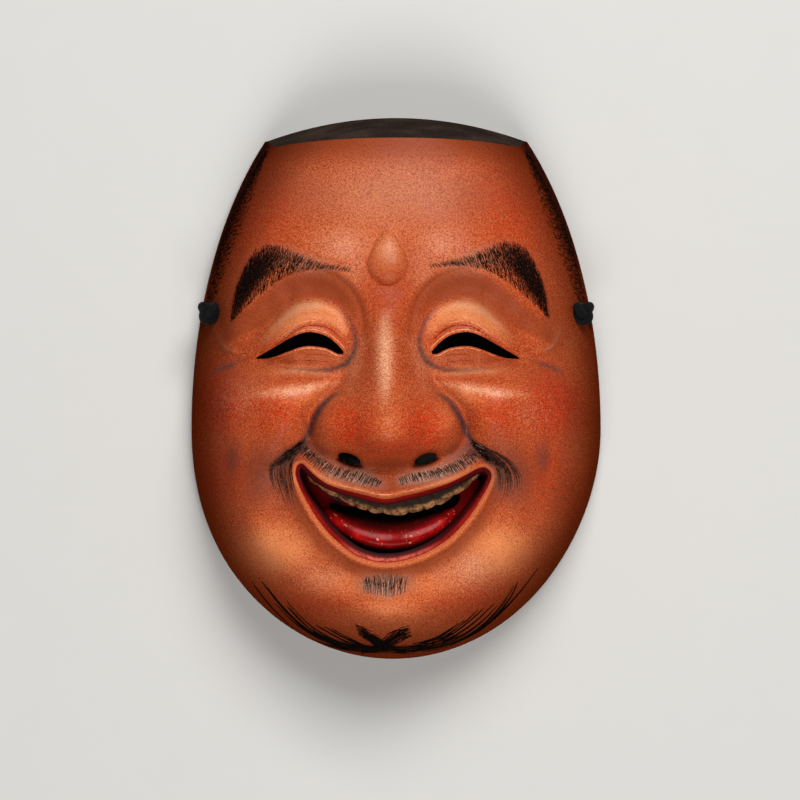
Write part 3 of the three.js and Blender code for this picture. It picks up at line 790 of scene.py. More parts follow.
def prism(name, outline, low, high):
    """A closed outline in the plan, pulled up between two heights."""
    start_fresh()
    bpy.ops.mesh.primitive_circle_add(vertices=len(outline), fill_type="NGON")
    cutter = named(name)
    push_points(cutter, np.column_stack([outline, np.full(len(outline), low)]) * MM)
    rise = (0, 0, (high - low) * MM)
    edit(
        cutter,
        lambda: bpy.ops.mesh.extrude_region_move(TRANSFORM_OT_translate={"value": rise}),
        lambda: bpy.ops.mesh.select_all(action="SELECT"),
        outward_normals,
    )
    return cutter


def bore(name, radius, depth, at, across=None, turn=0.0, tilt=0.0):
    """A cylinder to cut with, widened across if asked, turned in the plan or tilted to the side."""
    start_fresh()
    bpy.ops.mesh.primitive_cylinder_add(vertices=40, radius=1, depth=1)
    cutter = named(name)
    p = points_of(cutter) * [radius, across or radius, depth]
    c, s = cos_sin(turn)
    p = p @ np.array([[c, s, 0], [-s, c, 0], [0, 0, 1]])
    c, s = cos_sin(tilt)
    p = p @ np.array([[c, 0, -s], [0, 1, 0], [s, 0, c]])
    push_points(cutter, (p + at) * MM)
    return cutter


def cut_away(piece, cutters):
    for cutter in cutters:
        modifier = piece.modifiers.new(cutter.name, "BOOLEAN")
        modifier.operation = "DIFFERENCE"
        modifier.solver = "MANIFOLD"
        modifier.object = cutter
    apply_modifiers(piece)
    for cutter in cutters:
        bpy.data.objects.remove(cutter)


def closed_line(points, per=6):
    """A smooth closed line through the points."""
    return swept(points[-2:] + points + points[:3], per)[2 * per:-2 * per - 1]


cutters = [hollow_cutter, prism("throat_cutter", closed_line(THROAT), *CUT_HEIGHTS)]
for sign in (-1, 1):
    slit = np.array([*swept(EYE_TOP), *swept(EYE_LOW)[:-1]]) * [sign, 1] + [FACE_AXIS_X, 0]
    nostril_at = (FACE_AXIS_X + sign * NOSTRIL_AT[0], NOSTRIL_AT[1], 60)
    long_half, short_half = NOSTRIL_SIZE
    hole_at = np.array(CORD_HOLE_AT) * [sign, 1, 1]
    hole_tilt = sign * (90 - CORD_HOLE_TILT)
    cutters += [
        prism("slit_cutter", slit, *CUT_HEIGHTS),
        bore("nostril_cutter", long_half, NOSTRIL_DEPTH, nostril_at, short_half, sign * NOSTRIL_TURN),
        bore("hole_cutter", CORD_HOLE_RADIUS, CORD_HOLE_DEPTH, hole_at, tilt=hole_tilt),
    ]
cut_away(body, cutters)
body.name = body.data.name = "mask_carved"
print("after the cuts", triangles_in(body), "triangles")

# %% [markdown]
# ## Parts of the body for its finishes
#
# One solid carries three finishes: painted skin in front, black lacquer on the cut crown, and dark
# lacquer inside and on the rim. The faces are sorted by where they are and which way they look.

# %% Which finish each face has
SKIN, CROWN, BACK = 0, 1, 2


def face_centres(piece):
    count = len(piece.data.polygons)
    centres, normals = np.empty(count * 3), np.empty(count * 3)
    piece.data.polygons.foreach_get("center", centres)
    piece.data.polygons.foreach_get("normal", normals)
    return centres.reshape(-1, 3) / MM, normals.reshape(-1, 3)


centres, normals = face_centres(body)
cx, cy, _ = centres.T
finish_of = np.where(cy > brow_edge(cx) + 0.02, CROWN, SKIN)
finish_of = np.where(normals[:, 2] < 0.02, BACK, finish_of)
level, rise = cos_sin(CORD_HOLE_TILT)
for sign in (-1, 1):
    axis = np.array([sign * level, 0, rise])
    away = centres - np.array(CORD_HOLE_AT) * [sign, 1, 1]
    off_axis = np.linalg.norm(away - np.outer(away @ axis, axis), axis=1)
    in_bore = (off_axis < CORD_HOLE_RADIUS + 0.05) & (np.abs(normals @ axis) < 0.3)
    finish_of = np.where(in_bore, BACK, finish_of)
body.data.polygons.foreach_set("material_index", finish_of.astype(np.int32))
smooth_shade(body, 38)
print("faces of skin, crown and back:", [int((finish_of == kind).sum()) for kind in (SKIN, CROWN, BACK)])

# %% [markdown]
# ## Teeth and tongue
#
# The upper teeth are one carved strip, bent back to its sides, with a wavy lower edge and shallow
# grooves between the teeth. The tongue is a low cushion on the floor of the mouth. Both are
# pieces of their own here, so that each gets a fine even mesh.

# %% Teeth
TEETH_TOP = [
    (-32.5, -27.6), (-24, -32), (-11, -35.6), (-4, -37), (3, -35.8), (12, -34), (24, -29.2), (30, -26),
]
TEETH_EDGE = [
    (-31.8, -32.2), (-28.5, -35.2), (-23, -38.4), (-18, -41), (-12.5, -43.4), (-7, -44.8), (-2, -45.4),
    (3.5, -45.2), (9, -44), (14.5, -42.2), (19.5, -39.8), (24.5, -36.4), (28.5, -32.8), (30.5, -30.2),
]
TEETH_Z = 57.5
TEETH_BEND = 0.004
TEETH_ROOT_Z = 43.5
TEETH_COUNT = 11


def across_to(line, share):
    """Points of a line at shares of its length."""
    even = spaced(swept(line), 0.25)
    return np.stack([np.interp(share, np.linspace(0, 1, len(even)), even[:, k]) for k in (0, 1)], -1)


teeth, _, _ = flat_grid("mask_teeth", 220, 26)
edit(teeth, lambda: bpy.ops.mesh.extrude_region_move(TRANSFORM_OT_translate={"value": (0, 0, -1)}))
flat = points_of(teeth)
along, down, root = flat[:, 0] + 0.5, 1 - (flat[:, 1] + 0.5), -flat[:, 2]
top_at, low_at = across_to(TEETH_TOP, along), across_to(TEETH_EDGE, along)
place = along * TEETH_COUNT + 0.25 * np.sin(along * 19)             # no two teeth as wide
notch = np.abs(np.sin(math.pi * place))                             # 0 between two teeth
wave = 0.55 * (1 - notch) ** 2 - 0.35 * notch * np.sin(place * 2.3 + 1.0) ** 2
xy = top_at + (low_at - top_at) * down[:, None]
xy[:, 1] += wave * step(0.75, 1.0, down)
arch = TEETH_Z - TEETH_BEND * (xy[:, 0] - FACE_AXIS_X) ** 2
relief = 0.45 * notch**0.5 - 0.9 * step(0.86, 1.0, down) - 0.5 * step(0.45, 0.0, down)
z = np.where(root > 0.5, TEETH_ROOT_Z, arch + relief)
push_points(teeth, np.column_stack([xy, z]) * MM)
edit(teeth, outward_normals)
smooth_shade(teeth, 50)
print("teeth", triangles_in(teeth), "triangles")

# %% Tongue
TONGUE_AT = (-2, -53.6, 42.6)
TONGUE_SIZE = (24, 5.6, 12.0)
TONGUE_BEND = 0.0158
TONGUE_TILT = 0.35           # it rises to its front edge
TONGUE_ROUNDNESS = [0.84, 0.8, 0.62]         # under 1 is fuller than a ball
TONGUE_GROOVE_DEPTH, TONGUE_GROOVE_WIDTH = 0.5, 3.2

start_fresh()
bpy.ops.mesh.primitive_uv_sphere_add(segments=128, ring_count=64, radius=1)
tongue = named("mask_tongue")
ball = points_of(tongue)
shaped = np.sign(ball) * np.abs(ball) ** TONGUE_ROUNDNESS * TONGUE_SIZE
groove = np.exp(-(shaped[:, 0] / TONGUE_GROOVE_WIDTH) ** 2) * step(0.3, 0.9, ball[:, 2])
shaped[:, 2] -= TONGUE_GROOVE_DEPTH * groove + TONGUE_TILT * shaped[:, 1]
shaped[:, 1] += TONGUE_BEND * shaped[:, 0] ** 2
push_points(tongue, (shaped + TONGUE_AT) * MM)
smooth_shade(tongue, 60)
print("tongue", triangles_in(tongue), "triangles")

# %% [markdown]
# ## From the picture to the surface
#
# The brush strokes are placed where the photograph shows them, in millimetres of the picture. The
# camera sees high parts of the face larger than low ones, so a point of the picture is dropped
# along the camera's ray until it meets the carved front.

# %% Picture to surface and back
AIM = np.array(CAMERA_AIM) / MM
PICTURE_DEPTH = (CAMERA_HEIGHT - HALF_DEPTH) / MM
MAP_PITCH = 0.35
MAP_REACH = (78, 103)

map_x = np.arange(-MAP_REACH[0], MAP_REACH[0], MAP_PITCH)
map_y = np.arange(-MAP_REACH[1], MAP_REACH[1], MAP_PITCH)
relief_map = front(*np.meshgrid(map_x, map_y))


def height_at(x, y):
    """Height of the carved front, read from a map of it that is made once."""
    column = np.clip((x + MAP_REACH[0]) / MAP_PITCH, 0, len(map_x) - 1.001)
    row = np.clip((y + MAP_REACH[1]) / MAP_PITCH, 0, len(map_y) - 1.001)
    i, j = column.astype(int), row.astype(int)
    f, g = column - i, row - j
    below = relief_map[j, i] * (1 - f) + relief_map[j, i + 1] * f
    above = relief_map[j + 1, i] * (1 - f) + relief_map[j + 1, i + 1] * f
    return below * (1 - g) + above * g


def as_seen(x, y, z):
    """Where the picture shows a point of the surface."""
    scale = PICTURE_DEPTH / (CAMERA_HEIGHT / MM - z)
    return AIM[0] + (x - AIM[0]) * scale, AIM[1] + (y - AIM[1]) * scale


def dropped(px, py):
    """The point of the carved front that the picture shows at px, py."""
    z = np.full(np.shape(px), 45.0)
    for _ in range(6):
        scale = (CAMERA_HEIGHT / MM - z) / PICTURE_DEPTH
        x, y = AIM[0] + (px - AIM[0]) * scale, AIM[1] + (py - AIM[1]) * scale
        z = height_at(x, y)
    return x, y, z


_, chin_y, _ = dropped(np.array([0.0]), np.array([-95.0]))
print("a chin hair 95 mm down the picture lies", round(float(-chin_y[0]), 1), "mm down the face")

# %% [markdown]
# ## Brush strokes
#
# The painter draws every hair with one stroke of a fine brush: pressed down at the root, lifted to a
# point at the tip. The lacquer stands a hair's breadth proud of the skin. One stroke is modelled as a
# slim closed ridge, an Array modifier copies it, and each copy is then bent along its own path.
# The paths run between guide lines, like hair combed between the teeth of a comb.

# %% One stroke
STROKE_SIDES = 4
STROKE_HEIGHT = 0.045        # proud of the skin
STROKE_FOOT = 0.10           # sunk into it, so that no gap shows
GUIDE_POINTS = 40
OUTERMOST = 0.995            # as the gauge counts it
BESIDE_CROWN = 0.4


def one_stroke(sections):
    """A slim ridge from 0 to 1 along x, its half width in y and its height in z, both up to 1."""
    stroke, along, around = flat_grid("one_stroke", sections, STROKE_SIDES)
    press = np.sin(math.pi * np.clip(along * 0.96 + 0.04, 0, 1) ** 0.62) ** 0.7
    press = np.where((along < 0.005) | (along > 0.995), 0, press)
    corner = np.rint(around * STROKE_SIDES).astype(int) % STROKE_SIDES
    across = np.array([-1.0, 1.0, 0.8, -0.8])[corner] * press
    height = np.array([0.0, 0.0, 1.0, 1.0])[corner] * np.sqrt(press)
    push_points(stroke, np.column_stack([along, across, height]))
    edit(stroke, lambda: bpy.ops.mesh.remove_doubles(threshold=0.0001), outward_normals)
    return stroke


print("a stroke has", STROKE_SIDES, "sides")


# %% Paths combed between guides
def even_line(points, count=GUIDE_POINTS):
    """A swept line as a set number of points, evenly apart."""
    line = swept(points, 6)
    return spaced(line, length_of(line) / (count - 1) * 1.0001)[:count]


def combed(guides, per_gap, length, seed, spread, sections=6, outwards=1.0):
    """Paths of strokes between guide lines, each a stretch of a line blended from its two neighbours.

    The strokes are strewn evenly, and a value under 1 for outwards crowds them at the far end."""
    random = np.random.default_rng(seed)
    even = [even_line(guide) for guide in guides]
    paths = []
    for k, count in enumerate(per_gap):
        for number in range(count):
            f = (0.5 + 0.7549 * number + 0.04 * random.normal()) % 1
            line = even[k] * (1 - f) + even[k + 1] * f
            part = min(length * random.uniform(0.7, 1.25) / length_of(line), 1)
            first = (1 - part) * ((0.5 + 0.5698 * number + 0.04 * random.normal()) % 1) ** outwards
            at = (first + part * np.linspace(0, 1, sections + 1)) * (GUIDE_POINTS - 1)
            path = np.stack([np.interp(at, np.arange(GUIDE_POINTS), line[:, j]) for j in (0, 1)], -1)
            turn = spread * random.normal()
            c, s = math.cos(turn), math.sin(turn)
            paths.append(path[0] + (path - path[0]) @ np.array([[c, s], [-s, c]]))
    return paths


print("every guide is read at", GUIDE_POINTS, "points")


# %% Many strokes on the face
def on_the_face(paths):
    """Only the paths that stay clear of the outline and of the crown's edge."""
    paths = np.array(paths)
    x, y, _ = dropped(paths[..., 0], paths[..., 1])
    over = y - (BROW_EDGE_Y - x**2 / (2 * BROW_EDGE_ARC))
    return paths[(gauge(x, y).max(1) < OUTERMOST) & (over.max(1) < -BESIDE_CROWN)]


def painted_strokes(name, groups, proud=1.0):
    """One piece of many strokes. Each group is a list of paths in the picture and a width."""
    groups = [(on_the_face(group), width) for group, width in groups]
    paths = np.concatenate([group for group, _ in groups])
    widths = np.concatenate([np.full(len(group), width) for group, width in groups])
    widths = widths * np.random.default_rng(len(paths)).uniform(0.8, 1.2, len(paths))
    sections = paths.shape[1] - 1
    piece = one_stroke(sections)
    piece.name = piece.data.name = name
    shape = points_of(piece).copy()
    copies = piece.modifiers.new("copies", "ARRAY")
    copies.count = len(paths)
    copies.use_relative_offset = False
    apply_modifiers(piece)
    station = np.rint(shape[:, 0] * sections).astype(int)
    ahead = np.gradient(paths, axis=1)
    ahead /= np.linalg.norm(ahead, axis=2)[..., None] + 1e-9
    side = np.stack([-ahead[..., 1], ahead[..., 0]], -1)
    seen = paths[:, station] + side[:, station] * (shape[:, 1] * widths[:, None] / 2)[..., None]
    x, y, z = dropped(seen[..., 0], seen[..., 1])
    slope_x = (height_at(x + MAP_PITCH, y) - z) / MAP_PITCH
    slope_y = (height_at(x, y + MAP_PITCH) - z) / MAP_PITCH
    steep = np.minimum(np.sqrt(1 + slope_x**2 + slope_y**2), 3)
    rise = (STROKE_HEIGHT * proud + STROKE_FOOT) * shape[:, 2] - STROKE_FOOT
    push_points(piece, np.stack([x, y, z + rise * steep], -1).reshape(-1, 3) * MM)
    print(name, len(paths), "strokes,", triangles_in(piece), "triangles")
    return piece


print("strokes stay clear of the outermost", round((1 - OUTERMOST) * HALF_WIDTH, 1), "mm")

# %% [markdown]
# ## The painted hair
#
# The guides below are the directions of the brush, in millimetres of the picture. The brows grow up and
# inwards from a dense outer half. The moustache fans from the nose over the lip, two tufts bend
# down beside the mouth, a small patch stands under it, and the beard crosses on the chin and runs
# out along the jaw in long single hairs. Short strokes close the temples.

# %% Brows
BROW = [
    [(13, 42.6), (11.3, 45.2)], [(17.5, 43.3), (15, 45.9)], [(22, 43.5), (19.5, 46.6)],
    [(27, 43), (24.3, 48.3)], [(32, 41.8), (28.5, 50)], [(37, 39.6), (33, 52)], [(42, 36), (37.5, 53.6)],
    [(46.5, 32), (42, 54.2)], [(50.5, 28.5), (46, 52.4)], [(53.5, 25.5), (49.5, 46.8)],
    [(55.3, 23.6), (52.6, 39.5)],
]
BROW_COUNTS = [18, 30, 56, 96, 170, 240, 280, 280, 220, 120]
INNER_BROW = 4               # gaps of the comb in which the brush only grazes the skin
LEFT_BROW_SHIFT = (-4.5, -1.2)       # the left brow sits a little lower and nearer


def across_the_face(guides, shift):
    """The same guides on the left half of the face."""
    return [[(shift[0] - x, y + shift[1]) for x, y in guide] for guide in guides]


outer_groups, inner_groups = [], []
for guides, seed in ((BROW, 11), (across_the_face(BROW, LEFT_BROW_SHIFT), 12)):
    sparse = combed(guides[:INNER_BROW + 1], BROW_COUNTS[:INNER_BROW], 2.8, seed, spread=0.14, sections=5)
    dense = combed(
        guides[INNER_BROW:], BROW_COUNTS[INNER_BROW:], 3.3, seed, spread=0.1, sections=5, outwards=0.92,
    )
    inner_groups.append((sparse, 0.16))
    outer_groups.append((dense, 0.155))
brows = painted_strokes("brow_strokes", outer_groups)

# %% Moustache
RIGHT_LIP_HAIR = [
    [(0.8, -32), (2, -35.8)], [(3.6, -30.4), (5.6, -35.1)], [(8, -29.4), (10.6, -34.6)],
    [(12.6, -28.5), (15.6, -33.5)], [(17, -27.3), (20.4, -32.2)], [(20.4, -25.6), (24.2, -30.9)],
    [(22.9, -23.6), (27.4, -29.3)], [(25.4, -21.8), (30.3, -27.5)], [(27.6, -20.2), (33, -25.6)],
    [(29.4, -18.8), (35.6, -23.6)],
]
LEFT_LIP_HAIR = [
    [(-4.8, -33.2), (-6.8, -36)], [(-7.6, -31.3), (-10.8, -36.3)], [(-12, -29), (-15.6, -35.6)],
    [(-16.5, -27.9), (-20.6, -34.2)], [(-20.8, -27), (-25.2, -32.8)], [(-25, -25.1), (-29.3, -30.4)],
    [(-28.4, -22.8), (-32.4, -27.6)], [(-30.8, -20.8), (-34.8, -25.2)], [(-33, -19.2), (-37.6, -23.4)],
]
RIGHT_TUFT = [
    [(31, -22.5), (35, -27), (36.6, -31), (36.8, -35), (36, -39)],
    [(32, -22), (37.5, -27), (39.5, -32), (39.5, -37), (37.6, -44.5)],
    [(33, -21.8), (39.5, -26.8), (42.4, -31.6), (42.6, -36.5), (41, -42)],
    [(33.8, -21.6), (41, -26.2), (45.3, -31.2), (45.4, -35.8), (43, -40.5)],
]
LEFT_TUFT = [
    [(-32.6, -21.6), (-35.8, -23.4), (-37.4, -27), (-37.4, -32.4), (-36, -41)],
    [(-33, -21.2), (-36.7, -22.7), (-38.5, -27.7), (-38.5, -33.1), (-35.6, -46)],
    [(-34, -21), (-38.9, -23.8), (-40.5, -28.8), (-40.2, -34.2), (-36.4, -47.6)],
    [(-35, -21.2), (-40.7, -24.8), (-42.3, -29.5), (-42, -34.2), (-38, -47.6)],
    [(-36, -21.8), (-42.8, -26.4), (-44, -30.2), (-43.2, -34.9), (-39.4, -47)],
    [(-37, -22.4), (-44.8, -27.6), (-45.6, -30.6), (-44.5, -34.6), (-41.6, -43)],
]
UNDER_LIP = [
    [(-12, -67.2), (-11.2, -75.4)], [(-8.5, -66.2), (-8, -76.6)], [(-4, -66), (-4.3, -77.6)],
    [(0.4, -66.2), (-0.6, -77)], [(4.4, -66.8), (2.6, -75.6)],
]
moustache = painted_strokes("moustache_strokes", [
    (combed(RIGHT_LIP_HAIR, [24, 34, 36, 36, 36, 34, 34, 32, 28], 4.2, 21, spread=0.1), 0.19),
    (combed(LEFT_LIP_HAIR, [28, 38, 40, 38, 38, 36, 34, 30], 4.6, 22, spread=0.1), 0.19),
    (combed(UNDER_LIP, [26, 34, 34, 26], 7.4, 31, spread=0.08), 0.17),
])
inner_brows = painted_strokes("inner_brow_strokes", inner_groups)
tufts = painted_strokes("tuft_strokes", [
    (combed(RIGHT_TUFT, [16, 18, 16], 18, 23, spread=0.03, sections=16), 0.24),
    (combed(LEFT_TUFT, [10, 10, 10, 10, 9], 18, 24, spread=0.03, sections=16), 0.24),
])

# %% Beard
CHIN_FROM_LEFT = [
    [(-14, -88.6), (-9.6, -91.2), (-5.8, -93.8), (0, -95)],
    [(-15.6, -84.4), (-10, -87.6), (-4.4, -91), (2, -93.6)],
]
CHIN_FROM_RIGHT = [
    [(6.6, -89.2), (1.6, -91), (-4.2, -94), (-10, -95.2)],
    [(5.4, -85.4), (-0.2, -87.4), (-5.8, -91), (-11, -93.6)],
]
JAW_HAIRS_LEFT = [
    [(-12, -95.2), (-22, -93.4), (-33.5, -88.8), (-43, -80.8), (-50.6, -71.4), (-55, -64)],
    [(-12, -94.8), (-20.5, -92.9), (-31, -88), (-39.4, -80.8), (-46.6, -72.2), (-51.4, -65.2)],
    [(-11, -94.8), (-22, -92.2), (-33, -86.2), (-41.6, -77.8), (-48, -69.2)],
    [(-10, -94.4), (-20, -91.8), (-29.5, -86.6), (-37, -79.4), (-41.4, -73.6)],
    [(-14, -94), (-24, -90.6), (-31.8, -86), (-37.6, -80.2), (-40.6, -76.2)],
    [(-16, -94), (-25, -90.6), (-31.4, -86.2), (-36.6, -81), (-39.8, -77)],
    [(-8, -94.2), (-16, -92), (-23, -88.6), (-28.6, -85.2)],
    [(-8, -94), (-15, -91.6), (-20.6, -89), (-25.6, -86.2)],
    [(-9, -93.8), (-14, -91.4), (-18.6, -89.2), (-22.8, -87)],
    [(-18, -93.4), (-28, -89.8), (-36.5, -84.4), (-43, -78)],
]
JAW_HAIRS_RIGHT = [
    [(18, -93.4), (29.5, -87.8), (39, -79.8), (47, -70.6), (53, -62.2)],
    [(20, -92.2), (30, -87), (37.4, -80.6), (42, -74.2), (44.6, -67.8)],
    [(21, -91.8), (30, -86.4), (36.8, -80), (41.2, -73.8), (43.8, -69)],
    [(24, -91), (31.6, -85.8), (37, -80.6), (41, -75.4)],
    [(16, -92.4), (24, -88.8), (30.8, -84), (36, -78.8)],
    [(16, -91.8), (23, -88.2), (29, -83.8), (34.4, -78.6)],
    [(14, -92), (21, -88.2), (27, -83.6), (31.6, -79.4)],
    [(12, -92), (19, -88.4), (25, -84.2), (29.4, -80.2)],
    [(8, -92.8), (14.8, -90.2), (20, -87), (24.6, -83.6)],
    [(6, -93), (12.8, -90.8), (18, -87.8), (22.4, -84.8)],
    [(5, -93.2), (11.5, -91.2), (16.6, -88.8), (20.6, -86.4)],
]
CHIN_BAND_LEFT = [
    [(0, -95), (-10, -95.2), (-20, -93.6), (-29, -90.4)],
    [(0, -92.6), (-8, -92.8), (-16, -91.4), (-24, -88.2)],
]
CHIN_BAND_RIGHT = [
    [(-4, -95.2), (8, -95), (19, -92.6), (29, -87.6)],
    [(-4, -92.8), (6, -92.6), (15, -90.6), (24, -86.4)],
]
JAW_HAIR_WIDTH = 0.44


def drawn_twice(hairs, seed):
    """Each hair with a second one close beside it, both as paths that run on as they thin out."""
    random = np.random.default_rng(seed)
    paths = []
    for hair in hairs:
        last, before = np.array(hair[-1]), np.array(hair[-2])
        line = even_line([*hair, last + 0.8 * (last - before)], 33)
        swing = 0.4 * np.linspace(-1, 1, len(line))[:, None] * random.normal(0, 1, 2)
        paths += [line, line + random.normal(0, 0.2, 2) + swing]
    return paths


chin_hair = painted_strokes("chin_strokes", [
    (combed(CHIN_FROM_LEFT, [150], 5.2, 32, spread=0.16, sections=10), 0.24),
    (combed(CHIN_FROM_RIGHT, [150], 5.2, 33, spread=0.16, sections=10), 0.24),
    (combed(CHIN_BAND_LEFT, [56], 11, 34, spread=0.04, sections=10), 0.26),
    (combed(CHIN_BAND_RIGHT, [64], 11, 35, spread=0.04, sections=10), 0.26),
])
jaw_hair = painted_strokes("jaw_strokes", [
    (drawn_twice(JAW_HAIRS_LEFT, 36), JAW_HAIR_WIDTH),
    (drawn_twice(JAW_HAIRS_RIGHT, 37), JAW_HAIR_WIDTH),
])
grey_hair = painted_strokes("grey_hair_strokes", [
    (combed(RIGHT_LIP_HAIR, [26, 34, 36, 34, 28, 20, 14, 8, 4], 3.0, 51, spread=0.12), 0.16),
    (combed(LEFT_LIP_HAIR, [30, 38, 36, 30, 20, 14, 8, 4], 3.2, 52, spread=0.12), 0.16),
    (combed(UNDER_LIP, [16, 22, 22, 16], 5.0, 53, spread=0.07), 0.18),
], 0.6)

# %% Temples
TEMPLE_FROM, TEMPLE_TO = 90, 26
TEMPLE_COUNTS = [170, 190, 190, 190, 180, 160, 140, 110]
TEMPLE_BANDS = [5, 7, 8.5, 9.5, 9.5, 9, 8, 6.5, 5]
HIGH_TEMPLE = [[(50, 86), (54.5, 78.5), (57.5, 72)], [(46, 85.5), (49.5, 79.5), (52.5, 74)]]


def temple_guides(sign):
    """Short guides down and out to the outline, from the crown to the cord hole."""
    guides = []
    for y in np.linspace(TEMPLE_FROM, TEMPLE_TO, 9):
        edge = HALF_WIDTH * math.sqrt(1 - ((y - WAIST_Y) / SIDE_REACH) ** 2)
        inner = TEMPLE_BANDS[len(guides)]
        middle = (sign * (edge - inner / 2 - 0.6), y - 3.6)
        guides.append([(sign * (edge - inner), y), middle, (sign * (edge - 0.2), y - 7.5)])
    return guides


dense = [
    (combed(temple_guides(sign), TEMPLE_COUNTS, 1.7, seed, spread=0.2, sections=4, outwards=0.5), 0.2)
    for sign, seed in ((1, 41), (-1, 42))
]
sparse = [
    (combed(guides, [16], 3.4, seed, spread=0.1, sections=4), 0.2)
    for guides, seed in ((HIGH_TEMPLE, 43), (across_the_face(HIGH_TEMPLE, (0, 0)), 44))
]
temples = painted_strokes("temple_strokes", dense + sparse)

# %% Fine lines at the eyes and the mouth
# Brown lines along the lid folds and under the eye: painted lines that also stand for the shade in the
# carved folds
EYE_WRINKLES = [
    (0.4, [(u, v - 0.7) for u, v in LID_FOLD]),
    (0.24, LID_LINE),
    (0.24, [(18.6, 10.9), (23.5, 12), (29, 12), (34, 11.2)]),
    (0.22, [(21, 9.3), (27, 9.9), (31, 9.8), (36, 9.2)]),
    (0.3, LID_EDGE),
]
# Pale lines along the lid edges, the lid fold and the upper lip: painted highlights
EYE_LIGHTS = [
    (0.34, [(20.6, 22.8), (26.5, 24.2), (31.6, 23.3), (37.5, 19), (45.6, 13.9)]),
    (0.4, [
        (14.7, 13.2), (17.3, 16.3), (21.1, 19.3), (25.8, 20.9), (30.2, 20.8), (35.3, 18.9), (41.3, 15.5),
        (48, 11.8),
    ]),
    (0.44, [
        (15.6, 11.5), (18.3, 11.7), (22, 13.6), (27, 14.4), (31, 14.1), (36, 12.4), (42, 10.3), (47.4, 9.8),
    ]),
]
LIP_LIGHTS = [(0.45, [(x, y + 0.5) for x, y in MOUTH_TOP[1:-1]])]


LINE_POINTS = 33


def single_lines(lines, mirrored=True):
    """Groups of one path each; a line from the face's middle is drawn on both halves."""
    groups = []
    for width, line in lines:
        line = even_line(line, LINE_POINTS)
        halves = [line * [sign, 1] + [FACE_AXIS_X, 0] for sign in (1, -1)]
        groups.append((halves if mirrored else [line], width))
    return groups


wrinkles = painted_strokes("wrinkle_lines", single_lines(EYE_WRINKLES), 0.5)
lights = painted_strokes("pale_lines", single_lines(EYE_LIGHTS) + single_lines(LIP_LIGHTS, False), 0.5)

# %% [markdown]
# ## Where the painter's colours go
#
# The skin isn't one colour. Red is dabbed over the cheeks and the nose, brown paint with painted
# shade fills the hollow over each eye and the other hollows, blue-grey painted shade follows the
# deepest folds, pale and warm painted highlights lie on the ridges and the lit parts, and thin black
# is laid under the hair before the strokes. Each of these is a weight from 0 to 1 at every vertex,
# kept as an attribute of the mesh, which the materials read later. The weights come from soft lines
# and rounds in the picture.

# %% Soft marks
points = points_of(body) / MM
bx, by, bz = points.T
seen_x, seen_y = as_seen(bx, by, bz)
seen_u = np.abs(seen_x - FACE_AXIS_X)


def brushed(x, y, line, half_widths, strengths, edge):
    """A band along a line: its half width and its strength change along the way."""
    apart, share = distance_to(x, y, line, max(half_widths) * 2.2)
    marks = np.linspace(0, 1, len(half_widths))
    wide = np.interp(share, marks, half_widths)
    strong = np.interp(share, marks, strengths)
    return strong * np.exp(-np.abs(apart / wide) ** edge)


def bands(x, y, *table):
    """The weight of each band: its line, half widths, strengths and how steep its edge is."""
    return [brushed(x, y, *band) for band in table]


def rounds(x, y, *table):
    """The weight of each soft round: its strength, place, reach, turn and how steep its edge is."""
    return [strength * swelling(x, y, *shape) for strength, *shape in table]


def painted(piece, name, weights):
    layer = piece.data.attributes.new(name, "FLOAT", "POINT")
    layer.data.foreach_set("value", np.asarray(weights, np.float32))


def laid(name, *weights):
    """The strongest of some weights at each vertex of the body."""
    painted(body, name, np.clip(np.max(weights, axis=0), 0, 1))
    print(name, "laid from", len(weights), "marks")


print("weights for", len(points), "vertices")

# %% Distance from the lips
inside_mouth = into_mouth(bx, by)
# Just outside the lips, below their corners: where brown painted shade goes
beside_lips = step(-1.0, -2.2, inside_mouth) * step(-8, -3.5, inside_mouth) * step(-24, -32, by)
print("deepest point of the mouth is", round(float(inside_mouth.max()), 1), "mm from the lips")

# %% Black under the hair
BROW_BODY = [
    (12, 44), (20, 44.8), (28, 46.8), (34, 48.2), (40, 48), (45, 44.6), (49, 38.8), (52.4, 32),
    (54.8, 25.5),
]
BROW_HALF = [0.8, 1.2, 2.0, 3.8, 5.6, 6.0, 4.8, 3.2, 1.3]
BROW_BLACK = [0.0, 0.0, 0.14, 0.42, 0.64, 0.76, 0.76, 0.7, 0.55]
brow_views = [(seen_x, seen_y), (LEFT_BROW_SHIFT[0] - seen_x, seen_y - LEFT_BROW_SHIFT[1])]
outline_near = step(7.5, 0.6, (1 - gauge(bx, by)) * HALF_WIDTH)
temple_black = 0.7 * outline_near * step(14, 56, by) * step(-12, 13, bz) * (by < brow_edge(bx))
laid(
    "under_hair",
    temple_black,
    *(brushed(*view, BROW_BODY, BROW_HALF, BROW_BLACK, 3) for view in brow_views),
    *bands(
        seen_u, seen_y,
        ([(28.5, -16), (31.5, -20.5), (36, -24.6), (41.5, -28)],
         [1, 2.2, 2.6, 2.2], [0.25, 0.8, 0.95, 0.55], 2),
        ([(35, -26), (38.5, -31), (39.5, -37), (38, -43)], [3, 4.2, 3.6, 2.6], [0.45, 0.3, 0.15, 0], 3),
    ),
    *bands(
        seen_x, seen_y,
        ([(-14, -86.4), (-9.4, -89.6), (-5, -92.6), (3, -95)], [1.4, 1.5, 2, 1.2], [0.4, 0.7, 0.85, 0.8], 2),
        ([(4.8, -87.3), (0, -89.6), (-5, -92.6), (-12, -95)], [1.4, 1.5, 2, 1.2], [0.4, 0.7, 0.85, 0.8], 2),
        ([(-30, -90), (-20, -93), (-5, -94.2), (12, -93.6), (22, -91), (32, -86)],
         [1.0, 1.5, 1.8, 1.8, 1.5, 1.0], [0.1, 0.5, 0.66, 0.66, 0.6, 0.2], 2),
    ),
)
